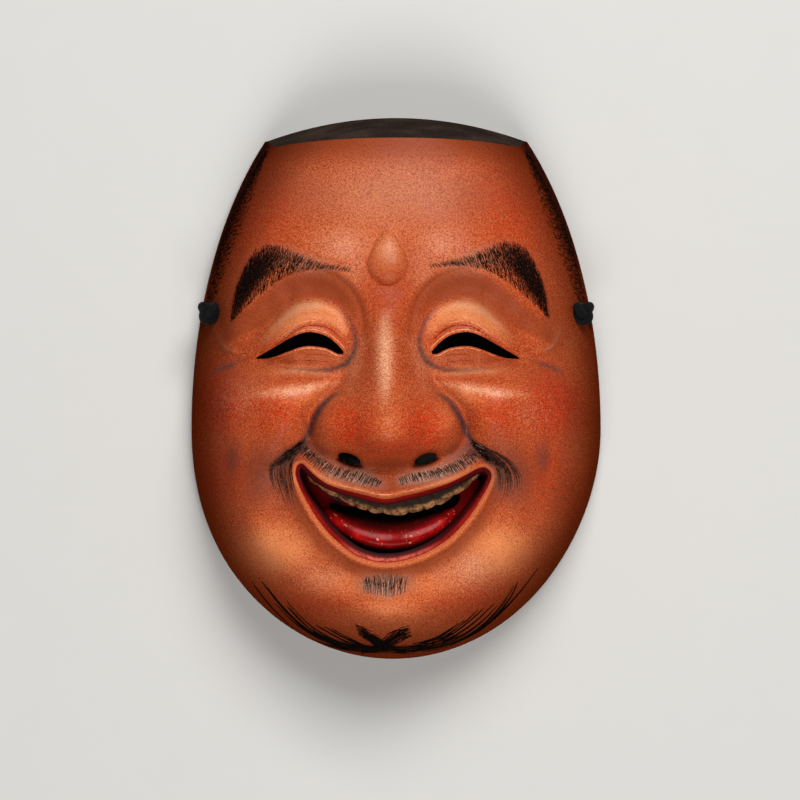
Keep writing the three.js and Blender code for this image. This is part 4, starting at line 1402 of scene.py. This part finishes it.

# %% Grey painted shade in the folds, ash under the moustache
EYE_HOOK = [
    (17.4, 28.8), (14, 25), (12.3, 21), (11.5, 16.6), (12.3, 12.4), (15.2, 8.8), (20.4, 6.8), (28, 6.5),
    (36, 7.2), (46, 9.4),
]
laid(
    "grey",
    *bands(
        seen_u, seen_y,
        (EYE_HOOK, [0.7, 0.8, 0.9, 1.0, 1.1, 1.1, 1.0, 0.8, 0.7, 0.6],
         [0.3, 0.6, 0.75, 0.8, 0.9, 1, 0.95, 0.7, 0.4, 0], 2),
        ([(16, -1.2), (20.5, -3.4), (24, -7), (26.8, -12), (28.8, -17), (31.5, -21)],
         [0.7, 1.0, 1.3, 1.3, 1.4, 1.4], [0.3, 0.9, 1, 1, 1, 0.8], 2.5),
        ([(51.5, 10.4), (56, 8.4), (60.3, 6.8), (65.5, 3.4)], [0.5, 0.9, 1.0, 0.7], [0.2, 0.8, 0.8, 0], 2),
        (CHEEK_FOLD[4:], [1.2, 1.4, 1.2, 0.8], [0.7, 0.9, 0.7, 0.2], 2),
        ([(29, -20), (36, -24.5), (40, -29.5), (40.5, -36), (38.5, -43)],
         [1.5, 3, 4.4, 4.2, 3.2], [0.8, 0.8, 0.6, 0.4, 0], 3),
        ([(19, -26.6), (24, -24.4), (29, -21.6)], [2.4, 3.2, 2.6], [0, 0.4, 0.6], 3),
        ([(28, -24), (33, -23.5), (37, -27)], [2.6, 3, 3], [0.2, 0.4, 0.4], 2),
    ),
    *rounds(seen_u, seen_y, (0.36, (44, -32), (8, 12), 8, 3), (0.45, (55.5, -25), (2.6, 4.6))),
    *rounds(seen_x, seen_y, (0.3, (-41, -40), (6, 6))),
)
laid(
    "ash",
    *bands(
        seen_x, seen_y,
        ([(1, -33), (8, -31.8), (16, -30.2), (23, -26.8), (28, -23.6)],
         [2.2, 3.2, 3.3, 3.6, 3.0], [0.5, 1, 0.9, 0.5, 0.1], 4),
        ([(-5.8, -34), (-12, -32), (-19, -30.4), (-26, -27.4), (-31.5, -24)],
         [2.0, 3.8, 3.9, 3.6, 2.8], [0.5, 1, 0.8, 0.35, 0], 4),
        ([(-12, -70.8), (-4, -71.4), (4.2, -70.6)], [3.4, 4.7, 3.4], [0.5, 1, 0.5], 3),
    ),
    *(brushed(*view, BROW_BODY[:6], [1, 2, 3, 4, 5, 5], [0.2, 0.5, 0.6, 0.6, 0.5, 0.2], 3)
      for view in brow_views),
    *rounds(seen_u, seen_y, (0.26, (0, 70), (38, 12), 0, 3)),
)

# %% Red, and brown with painted shade
LID_RED = [(u, v - 1.0) for u, v in LID_FOLD]
laid(
    "red",
    *rounds(
        seen_u, seen_y,
        (1.0, (60, -6), (11, 12), 0, 3), (0.7, (42, -7), (13, 9), 0, 2.5), (0.45, (34, 3), (14, 4)),
        (0.95, (13, -14), (9, 9), 0, 3), (0.7, (0, -22), (20, 4), 0, 3),
        (0.5, (46, 62), (13, 20), 0, 2.5), (0.5, (28, -76), (14, 8), 0, 2.5),
        (0.45, (60, -32), (10, 16), 0, 2.5), (0.35, (0, 36), (9, 10), 0, 2.5),
    ),
    0.8 * brushed(seen_u, seen_y, LID_RED, [0.5, 0.7, 0.9, 1, 1, 0.9, 0.7, 0.5],
                  [0.4, 0.8, 1, 1, 1, 0.8, 0.6, 0], 2),
)
SOCKET_BAND = [
    (8.2, 18), (9.8, 27), (14.8, 33.6), (20.5, 36.3), (26.8, 37.2), (33.8, 35.6), (39.4, 31.9),
    (44.9, 27.5), (50.8, 23.8), (56.2, 20.4), (59.3, 17.6),
]
# Brown paint with painted shade: the band over each eye, the fold beside the mouth, beside the lips, under
# the nose, the nostrils, dimples and temples, and darker towards the crown
laid(
    "brown",
    0.85 * beside_lips,
    0.9 * step(76, 88, seen_y),
    *bands(
        seen_u, seen_y,
        (SOCKET_BAND, [1.6, 3.2, 4.8, 5.4, 5.7, 5.5, 5.3, 4.8, 4.1, 3.4, 2.2],
         [0.3, 0.7, 0.9, 1, 1, 1, 0.9, 0.85, 0.8, 0.85, 0.9], 6),
        ([(18, -26), (24, -24), (30, -22)], [2.5, 3, 2.6], [0.21, 0.7, 0.7], 2),
        ([(0, -21.5), (10, -20), (20, -18)], [3, 3, 3], [0.55, 0.55, 0.275], 2),
    ),
    *rounds(
        seen_u, seen_y,
        (0.5, (0, 38), (9, 12), 0, 2.5), (0.4, (36, 72), (14, 12), 0, 2.5),
        (0.8, (47, -32), (7, 12), 8, 3), (0.5, (40, -19), (6, 5)), (0.85, (57.5, -27), (3, 7.5), 5),
        (0.7, (60.5, 18), (5, 12)), (0.95, (0, -27.5), (9, 2.8), 0, 3), (0.6, (56, -31), (7, 10)),
        (0.5, (38, 27), (12, 4), -25), (0.5, (29, 11), (15, 3), 0, 3), (1, NOSTRIL_AT, (5.2, 2.9), 20, 6),
    ),
    *rounds(seen_x, seen_y, (0.35, (-25, -13), (5, 7), 0, 2.5)),
)

# %% Pale and warm painted highlights
PALE_LINES = [               # strength, line, half width
    (0.8, [(18, 26.6), (22.8, 29.2), (27.2, 29.8), (32.4, 28.6), (36.8, 25.6), (42, 21)], 1.5),
    (0.35, [(18.5, 18.4), (23, 21), (28, 21.8), (34, 20), (40, 16.6)], 0.8),
    (0.95, [(17, 2.2), (26, 0.6), (34, -0.8), (43, -2.1), (52, -2.6)], 1.6),
    (0.7, [(19, 4.6), (26, 5.8), (33, 6.2), (40, 5.6)], 1.0),
    (0.4, BAND_END, 0.6),
]
laid(
    "pale",
    *(strength * brushed(seen_u, seen_y, line, [wide * 0.6, wide, wide, wide * 0.6], [0.2, 1, 1, 0.1], 2)
      for strength, line, wide in PALE_LINES),
    *bands(seen_u, seen_y, ([(9, 17), (12.5, 9), (13.5, 0)], [2.5, 3.4, 2.6], [0.12, 0.3, 0.09], 2)),
    *bands(
        seen_x, seen_y,
        ([(-4, 25), (-4, 16), (-4, 3), (-4, -9)], [2.2, 2.8, 2.6, 1.8], [0.5, 1, 0.8, 0], 2),
    ),
    *rounds(
        seen_u, seen_y,
        (0.45, (0, 50), (3.5, 4)), (0.22, (12, 42), (5, 7)), (0.16, (30, 44), (14, 4), 10),
    ),
    *rounds(
        seen_x, seen_y,
        (0.16, (-4, 72), (26, 11)), (0.36, (-20, 51.5), (9, 6)), (0.22, (15, 51), (8, 6)),
        (0.5, (27, -66), (8, 6)), (0.3, (-28, -69), (7, 5)), (0.2, (49, -9), (7, 5)),
        (0.25, (-57, -4), (8, 6)),
    ),
)
LID = [(15.5, 21), (20, 26), (26, 27.6), (32, 26.5), (38, 22.6), (44.5, 17)]
laid(
    "warm",
    *bands(
        seen_u, seen_y,
        (LID, [1.8, 3.4, 4.2, 4.2, 3.4, 1.6], [0.6, 1, 1, 1, 0.9, 0.2], 3),
        ([(17.5, 10), (24, 11.8), (31, 11.4), (38, 10.2)], [1.2, 2, 2, 1.2], [0.2, 0.4, 0.4, 0.16], 3),
        ([(18, 6), (28, 6), (38, 6), (48, 5)], [2, 2.8, 2.8, 2], [0.3, 0.6, 0.6, 0.12], 3),
    ),
    *rounds(
        seen_u, seen_y,
        (0.18, (0, 62), (34, 14), 0, 3), (1.0, (40, -58), (12, 8.5), 0, 2.5), (0.5, (18, -71), (12, 5)),
        (0.45, (0, -80), (12, 5)), (0.55, (34, -2), (15, 4.5), 0, 2.5), (0.2, (0, -14), (5, 6)),
        (0.6, (22, -33), (14, 3)), (0.5, (0, 46), (6, 9), 0, 3),
    ),
    *rounds(seen_x, seen_y, (0.35, (16, -11), (4, 6), 0, 2.5)),
)

# %% Edge, mouth and lip weights
painted(body, "edge", np.clip(1 - gauge(bx, by), 0, 1))
painted(body, "mouth", np.clip(inside_mouth, -6, 12))
painted(body, "lower_lip", step(-30, -42, by))
painted(body, "lip_middle", step(-54, -62, by))
painted(body, "mouth_corner", step(18, 25, np.abs(bx - FACE_AXIS_X)))
print("weights:", [layer.name for layer in body.data.attributes if layer.data_type == "FLOAT"])

# %% [markdown]
# ## A short way to write materials
#
# A node tree is shader maths, so it can be written as maths. `Wire` wraps an output socket,
# and its operators add Math nodes. `Finish` holds the tree: its `node` method adds any other node, sets
# its settings first and then its sockets.

# %% Wires and finishes
class Wire:
    """One output socket of a finish's node tree."""

    def __init__(self, finish, socket):
        self.finish = finish
        self.socket = socket

    def maths(self, operation, *values):
        return self.finish.node("Math", {"operation": operation}, dict(enumerate(values)))

    def __add__(self, other):
        return self.maths("ADD", self, other)

    __radd__ = __add__

    def __sub__(self, other):
        return self.maths("SUBTRACT", self, other)

    def __rsub__(self, other):
        return self.maths("SUBTRACT", other, self)

    def __mul__(self, other):
        return self.maths("MULTIPLY", self, other)

    __rmul__ = __mul__

    def __abs__(self):
        return self.maths("ABSOLUTE", self)


class Finish:
    """A material as a tree of nodes on one Principled shader."""

    def __init__(self, name, **constants):
        self.material = bpy.data.materials.new(name)
        self.material.use_nodes = True
        self.tree = self.material.node_tree
        self.shader = self.tree.nodes["Principled BSDF"]
        for socket, value in constants.items():
            self.shader.inputs[socket.replace("_", " ").title().replace("Ior", "IOR")].default_value = value

    def put(self, socket, value):
        if isinstance(value, Wire):
            self.tree.links.new(value.socket, socket)
        else:
            socket.default_value = value

    def node(self, kind, settings=None, sockets=None, out=0):
        made = self.tree.nodes.new("ShaderNode" + kind)
        for key, value in (settings or {}).items():
            setattr(made, key, value)
        for key, value in (sockets or {}).items():
            self.put(made.inputs[key], value)
        return Wire(self, made.outputs[out])

    def set(self, **wires):
        for socket, value in wires.items():
            self.put(self.shader.inputs[socket.replace("_", " ")], value)

    def place(self):
        return self.node("TexCoord", out="Object")

    def weight(self, name):
        return self.node("Attribute", {"attribute_name": name}, out="Fac")

    def noise(self, scale, detail=2.0, rough=0.5, at=None):
        sockets = {"Vector": at or self.place(), "Scale": scale, "Detail": detail, "Roughness": rough}
        return self.node("TexNoise", {}, sockets)

    def rise(self, wire, low, high):
        """0 below low, 1 above high, smooth between; falls where low is over high."""
        sockets = {"Value": wire, "From Min": low, "From Max": high}
        return self.node("MapRange", {"interpolation_type": "SMOOTHSTEP"}, sockets)

    def mix(self, share, one, other, blend="MIX"):
        settings = {"data_type": "RGBA", "blend_type": blend}
        return self.node("Mix", settings, {0: share, 6: one, 7: other}, out=2)

    def stretched(self, scale):
        """Object coordinates, squeezed along each axis."""
        return self.node("Mapping", {}, {"Vector": self.place(), "Scale": scale})

    def bump(self, height, depth):
        return self.node("Bump", {}, {"Height": height, "Distance": depth, "Strength": 1.0})


def colour(red, green, blue):
    """An sRGB colour of 0 to 255 as the linear values that sockets take."""
    shares = (value / 255 for value in (red, green, blue))
    return (*(v / 12.92 if v < 0.0404 else ((v + 0.055) / 1.055) ** 2.4 for v in shares), 1.0)


print("a warm skin colour is", [round(v, 3) for v in colour(205, 118, 70)])

# %% [markdown]
# ## Painted skin
#
# Layers of colour are dabbed with a stiff brush, so each breaks up into fine grains over the one
# below. Fine noises give the grains and veins, broad noise the uneven tone of age, and the weights
# say where red, brown with painted shade, grey painted shade, pale and warm painted highlights and
# black lie on top. Towards the rim the skin is darkened with painted shade. The lips and the mouth
# are painted by their distance from the outline of the mouth, with a painted highlight on the rim of
# the lips and painted shade further in. The surface is satin, and a little rougher where it is dabbed.

# %% Skin finish
skin = Finish("painted_skin", specular_ior_level=0.0, coat_roughness=0.36)
grain = skin.noise(1800, 2, 0.6)
weave = skin.noise(1050, 2, 0.5, skin.stretched((0.8, 1.3, 1)))
dab = skin.noise(620, 3, 0.6)
patch = skin.noise(90, 3, 0.55)
broad = skin.noise(28, 2, 0.5)
veins = skin.rise(abs(weave - 0.5), 0.05, 0.005)
light_grain = skin.rise(grain, 0.52, 0.64)

red_weight = skin.weight("red")
# Weights of painted highlights: pale on the ridges and edges, warm on the broad lit parts
pale_highlight = skin.weight("pale")
warm_highlight = skin.weight("warm")
calm = 1 - 0.55 * warm_highlight
edge_weight = skin.weight("edge")
dark_grain = skin.rise(grain, 0.47, 0.38) * (0.72 - 0.4 * pale_highlight) * calm
red_share = red_weight * (0.4 + 0.6 * skin.rise(dab, 0.44, 0.57))
cover = skin.rise(skin.weight("under_hair") + 1.1 * (grain - 0.5), 0.4, 0.74)
tone = skin.mix(skin.rise(broad, 0.35, 0.68), colour(186, 78, 40), colour(200, 92, 50))
for share, paint in (
    (skin.rise(patch, 0.4, 0.75) * 0.5 * calm, (184, 72, 34)),                        # uneven with age
    (warm_highlight * (0.6 + 0.2 * skin.rise(patch, 0.35, 0.65)), (246, 152, 94)),       # warm painted highlight
    (light_grain * (0.34 + 0.2 * pale_highlight), (240, 150, 94)),                       # light grains
    (pale_highlight * (0.6 + 0.3 * light_grain), (255, 192, 146)),                       # pale painted highlight
    (dark_grain, (128, 44, 18)),                                                      # dark grains
    (skin.weight("brown") * (0.75 + 0.15 * light_grain), (138, 62, 34)),              # brown paint and painted shade in the hollows
    (red_share * (0.95 - 0.4 * light_grain), (202, 52, 18)),                          # dabbed red
    (veins * (0.3 + 0.6 * red_weight) * calm, (112, 26, 8)),                          # fine dark veins
    (skin.rise(edge_weight, 0.27, 0.0) * 0.85, (78, 19, 1)),                          # painted shade, darker towards the rim
    (skin.weight("grey") * (0.7 + 0.3 * skin.rise(dab, 0.4, 0.6)), (78, 58, 58)),     # blue-grey painted shade in the folds
    (skin.weight("ash") * (0.6 + 0.3 * light_grain), (150, 106, 88)),                 # thin ash ground
    (cover, (17, 12, 11)),                                                            # black under hair
):
    tone = skin.mix(share, tone, colour(*paint))
print(skin.material.name, len(skin.tree.nodes), "nodes before the mouth")

# %% Lips and mouth, by their distance from the outline
mouth = skin.weight("mouth")
lower = skin.weight("lower_lip")
middle_lip = skin.weight("lip_middle")
# Painted highlight on the rim just outside the lips
rim = skin.rise(mouth, -1.4, -0.5) * skin.rise(mouth, 0.8, 0.5)
tone = skin.mix(rim * 0.3, tone, colour(222, 126, 76))
depth = mouth + 0.9 * (1 - lower) - 0.6 * lower
# The upper lip is a darker red than the lower: partly its own red, partly painted shade
lip = skin.mix(lower, colour(112, 9, 8), colour(142, 26, 22))
lip = skin.mix(middle_lip * skin.rise(depth, 0.2, 0.8), lip, colour(214, 98, 82))
lip = skin.mix(skin.rise(dab, 0.45, 0.62) * 0.6, lip, colour(104, 16, 14))
# Painted shade darkens the lip further in
lip = skin.mix(skin.rise(depth, 1.2, 2.2) * 0.8, lip, colour(74, 26, 30))
tone = skin.mix(skin.rise(mouth - 0.6 * lower, 0.0, 0.3), tone, lip)
# Painted shade in the groove inside the lips: near black under the upper lip, purple-grey under the lower,
# maroon at the corners
groove = skin.mix(lower, colour(20, 9, 8), colour(58, 38, 42))
corner = skin.weight("mouth_corner")
groove = skin.mix(corner, groove, colour(72, 14, 16))
tone = skin.mix(skin.rise(depth, 2.2, 2.9) * 0.95, tone, groove)
floor_red = skin.mix(skin.rise(patch, 0.4, 0.6), colour(96, 10, 9), colour(44, 5, 5))
tone = skin.mix(skin.rise(depth, 4.3, 5.0) * lower, tone, floor_red)
tone = skin.mix(corner * skin.rise(depth, 3.2, 4.0), tone, colour(120, 14, 16))
print(skin.material.name, len(skin.tree.nodes), "nodes with the mouth")

# %% Gloss and grain of the skin
in_mouth = skin.rise(mouth, 0.0, 0.4)
bare = skin.rise(edge_weight, 0.04, 0.3) * (1 - cover) * (1 - in_mouth)
relief = 0.6 * grain + 0.5 * dab + 0.6 * patch
skin.set(
    Base_Color=tone,
    Roughness=0.48 + 0.16 * (grain - 0.5) + 0.1 * red_share + 0.1 * cover,
    Coat_Weight=(0.1 + 0.35 * pale_highlight + 0.12 * warm_highlight) * bare,
    Normal=skin.bump(relief * (1 - 0.7 * in_mouth), 0.12 * MM),
)
print(skin.material.name, len(skin.tree.nodes), "nodes")

# %% [markdown]
# ## Black crown, dark back, teeth, tongue, hair and braid
#
# The crown is thin matt black over the wood, rubbed through in a few tiny specks. The back
# is dark lacquer over chisel marks. The teeth are a dirty ivory that darkens to grey-green at the
# gum, partly its paint and partly painted shade under the lip, and the tongue is a bright glossy red
# with painted glints. The strokes are black lacquer, thinner and browner over the lip, and the cords
# a dusty black braid.

# %% Crown and back
crown = Finish("black_crown", specular_ior_level=0.0)
fleck = crown.noise(1100, 3, 0.7)
cloud = crown.noise(60, 3, 0.6)
soot = crown.mix(crown.rise(cloud, 0.35, 0.7), colour(48, 38, 34), colour(70, 56, 49))
soot = crown.mix(crown.rise(fleck, 0.4, 0.62) * 0.6, soot, colour(34, 27, 24))
worn = crown.rise(fleck, 0.66, 0.7) * crown.rise(cloud, 0.46, 0.62)
soot = crown.mix(worn, soot, colour(150, 92, 62))
crown.set(
    Base_Color=soot,
    Roughness=0.62 + 0.2 * (fleck - 0.5) - 0.1 * cloud,
    Normal=crown.bump(fleck + cloud, 0.15 * MM),
)

back = Finish("dark_back", specular_ior_level=0.5)
cuts = {"Vector": back.stretched((1, 0.35, 1)), "Scale": 150.0}
chisel = back.node("TexVoronoi", {"feature": "SMOOTH_F1"}, cuts)
age = back.noise(45, 4, 0.6)
fine = back.noise(700, 3, 0.6)
wood_dark = back.mix(back.rise(age, 0.35, 0.7), colour(44, 27, 20), colour(74, 46, 31))
wood_dark = back.mix(back.rise(fine, 0.55, 0.7) * 0.5, wood_dark, colour(24, 15, 12))
back.set(
    Base_Color=wood_dark,
    Roughness=0.4 + 0.25 * age,
    Normal=back.bump(chisel + 0.1 * fine, 0.6 * MM),
)
print(crown.material.name, back.material.name)

# %% Teeth and tongue finishes
painted(teeth, "to_gum", 1 - down)
painted(teeth, "notch", 1 - notch)
ivory = Finish("old_teeth", specular_ior_level=0.12)
stain = ivory.noise(420, 4, 0.65)
crackle = ivory.noise(1400, 3, 0.6)
# Grey-green towards the gum: partly the paint of the gum, partly painted shade under the upper lip
gum_and_shade = ivory.rise(ivory.weight("to_gum") + 0.3 * (stain - 0.5), 0.14, 0.32)
bone = ivory.mix(ivory.rise(stain, 0.38, 0.62), colour(184, 128, 80), colour(104, 64, 38))
bone = ivory.mix(gum_and_shade * 0.95, bone, colour(46, 40, 30))
bone = ivory.mix(ivory.rise(ivory.weight("notch"), 0.8, 0.98) * 0.6, bone, colour(66, 48, 34))
bone = ivory.mix(ivory.rise(crackle, 0.54, 0.62) * 0.6, bone, colour(62, 40, 26))
ivory.set(
    Base_Color=bone,
    Roughness=0.5 + 0.2 * (stain - 0.5),
    Normal=ivory.bump(crackle + stain, 0.12 * MM),
)

from_middle = ball[:, 1] - 0.25 * ball[:, 0] ** 2
painted(tongue, "shade", np.maximum(step(-0.2, 0.5, from_middle), step(-0.45, -0.8, ball[:, 1])))
gloss = Finish("tongue_lacquer", specular_ior_level=0.1)
layer = gloss.noise(260, 3, 0.6)
wet = gloss.mix(gloss.rise(layer, 0.35, 0.7), colour(126, 6, 6), colour(180, 16, 12))
wet = gloss.mix(gloss.weight("shade") * 0.85, wet, colour(60, 8, 11))
# Painted glints: small pale spots, left out where the painted shade is
painted_glints = gloss.rise(gloss.noise(760, 1, 0.5), 0.68, 0.73) * (1 - gloss.weight("shade"))
wet = gloss.mix(painted_glints * 0.75, wet, colour(240, 160, 120))
gloss.set(
    Base_Color=wet,
    Roughness=0.26 + 0.1 * (layer - 0.5),
    Normal=gloss.bump(layer, 0.02 * MM),
)
print(ivory.material.name, gloss.material.name)

# %% Strokes and braid
def thin_paint(name, one, other, edges=(0.4, 0.7), scale=900, rough=0.5, shine=0.0):
    """A thin coat that is patchy between two colours, for hairs and lines."""
    paint = Finish(name, specular_ior_level=shine)
    patches = paint.noise(scale, 3, 0.6)
    paint.set(
        Base_Color=paint.mix(paint.rise(patches, *edges), colour(*one), colour(*other)),
        Roughness=rough + 0.2 * (patches - 0.5),
        Normal=paint.bump(patches, 0.03 * MM),
    )
    return paint


ink = thin_paint("hair_lacquer", (10, 8, 7), (26, 18, 14))
thin_ink = thin_paint("thin_hair_lacquer", (38, 24, 20), (84, 54, 42), (0.4, 0.66))
# Brown paint for the fold lines, which also stands for their shade, and pale paint for the painted highlight
# lines
line_brown = thin_paint("wrinkle_paint", (96, 32, 16), (150, 62, 34), (0.4, 0.62), 700, shine=0.1)
line_pale = thin_paint("pale_line_paint", (240, 156, 106), (206, 102, 60), (0.42, 0.62), 600, 0.42, 0.3)
ash_paint = thin_paint("ash_hair_paint", (168, 128, 108), (206, 170, 148), rough=0.6, shine=0.1)

braid = Finish("black_braid", specular_ior_level=0.15, sheen_weight=0.02, sheen_roughness=0.5)
lint = braid.noise(1600, 3, 0.6)
wound = {"Vector": braid.place(), "Scale": 900.0, "Distortion": 2.0}
threads = braid.node("TexWave", {"bands_direction": "DIAGONAL"}, wound)
fibre = braid.mix(braid.rise(lint, 0.45, 0.75), colour(6, 6, 7), colour(20, 20, 23))
braid.set(
    Base_Color=fibre,
    Roughness=0.75 + 0.2 * (lint - 0.5),
    Normal=braid.bump(threads + lint, 0.2 * MM),
)
print(ink.material.name, ash_paint.material.name, braid.material.name)

# %% Finishes on their pieces
body.data.materials.clear()
for finish in (skin, crown, back):
    body.data.materials.append(finish.material)
body.data.polygons.foreach_set("material_index", finish_of.astype(np.int32))
finish_on = {
    teeth: ivory, tongue: gloss, brows: ink, chin_hair: ink, jaw_hair: ink, temples: ink,
    moustache: thin_ink, inner_brows: thin_ink, tufts: thin_ink, grey_hair: ash_paint,
    wrinkles: line_brown, lights: line_pale,
}
for piece, finish in finish_on.items():
    piece.data.materials.append(finish.material)
for side_name in cords:
    for piece in (cords[side_name], *knots[side_name]):
        piece.data.materials.append(braid.material)

carved = (body, *finish_on)
for piece in carved:
    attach(piece, "root")
    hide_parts("mask")
print("pieces for the mask:", [piece.name for piece in carved])

# %% [markdown]
# ## Floor and light
#
# The mask lies on a plain pale floor. One large soft light stands over the crown and reaches the
# forehead, the lids and the top of the cheeks first, as in the photograph. A weak one from the chin
# side opens the shadows, and the grey of the room does the rest.

# %% Stage
start_fresh()
bpy.ops.mesh.primitive_plane_add(size=6, location=(0, 0, -0.1 * MM))
floor = named("floor")
paper = Finish("floor_paper", specular_ior_level=0.2)
pulp = paper.noise(40, 4, 0.6)
paper.set(
    Base_Color=paper.mix(pulp * 0.3, colour(214, 212, 208), colour(206, 204, 200)),
    Roughness=0.8 + 0.05 * pulp,
)
floor.data.materials.append(paper.material)


FACE_MIDDLE = (0, 0, 0.05)
ROOM_COLOUR = (0.9, 0.93, 1.0, 1)
ROOM_STRENGTH = 0.05


def soft_light(name, at, size, power):
    """A rectangular lamp that looks at the middle of the face."""
    light = bpy.data.lights.new(name, "AREA")
    light.shape = "RECTANGLE"
    light.size, light.size_y = size
    light.energy = power
    lamp = bpy.data.objects.new(name, light)
    bpy.context.scene.collection.objects.link(lamp)
    lamp.location = at
    x, y, z = np.array(FACE_MIDDLE) - np.array(at)
    lamp.rotation_euler = (math.atan2(math.hypot(x, y), -z), 0, math.atan2(x, -y) + math.pi)


soft_light("key", at=(0.22, 0.85, 1.25), size=(0.8, 0.6), power=20)
soft_light("fill", at=(0.0, -0.85, 1.25), size=(1.0, 0.7), power=12.5)
world = bpy.data.worlds.new("room")
bpy.context.scene.world = world
world.use_nodes = True
background = world.node_tree.nodes["Background"]
background.inputs["Color"].default_value = ROOM_COLOUR
background.inputs["Strength"].default_value = ROOM_STRENGTH
bpy.context.scene.view_settings.view_transform = "Standard"

# %% Last update of the scene
bpy.context.view_layer.update()
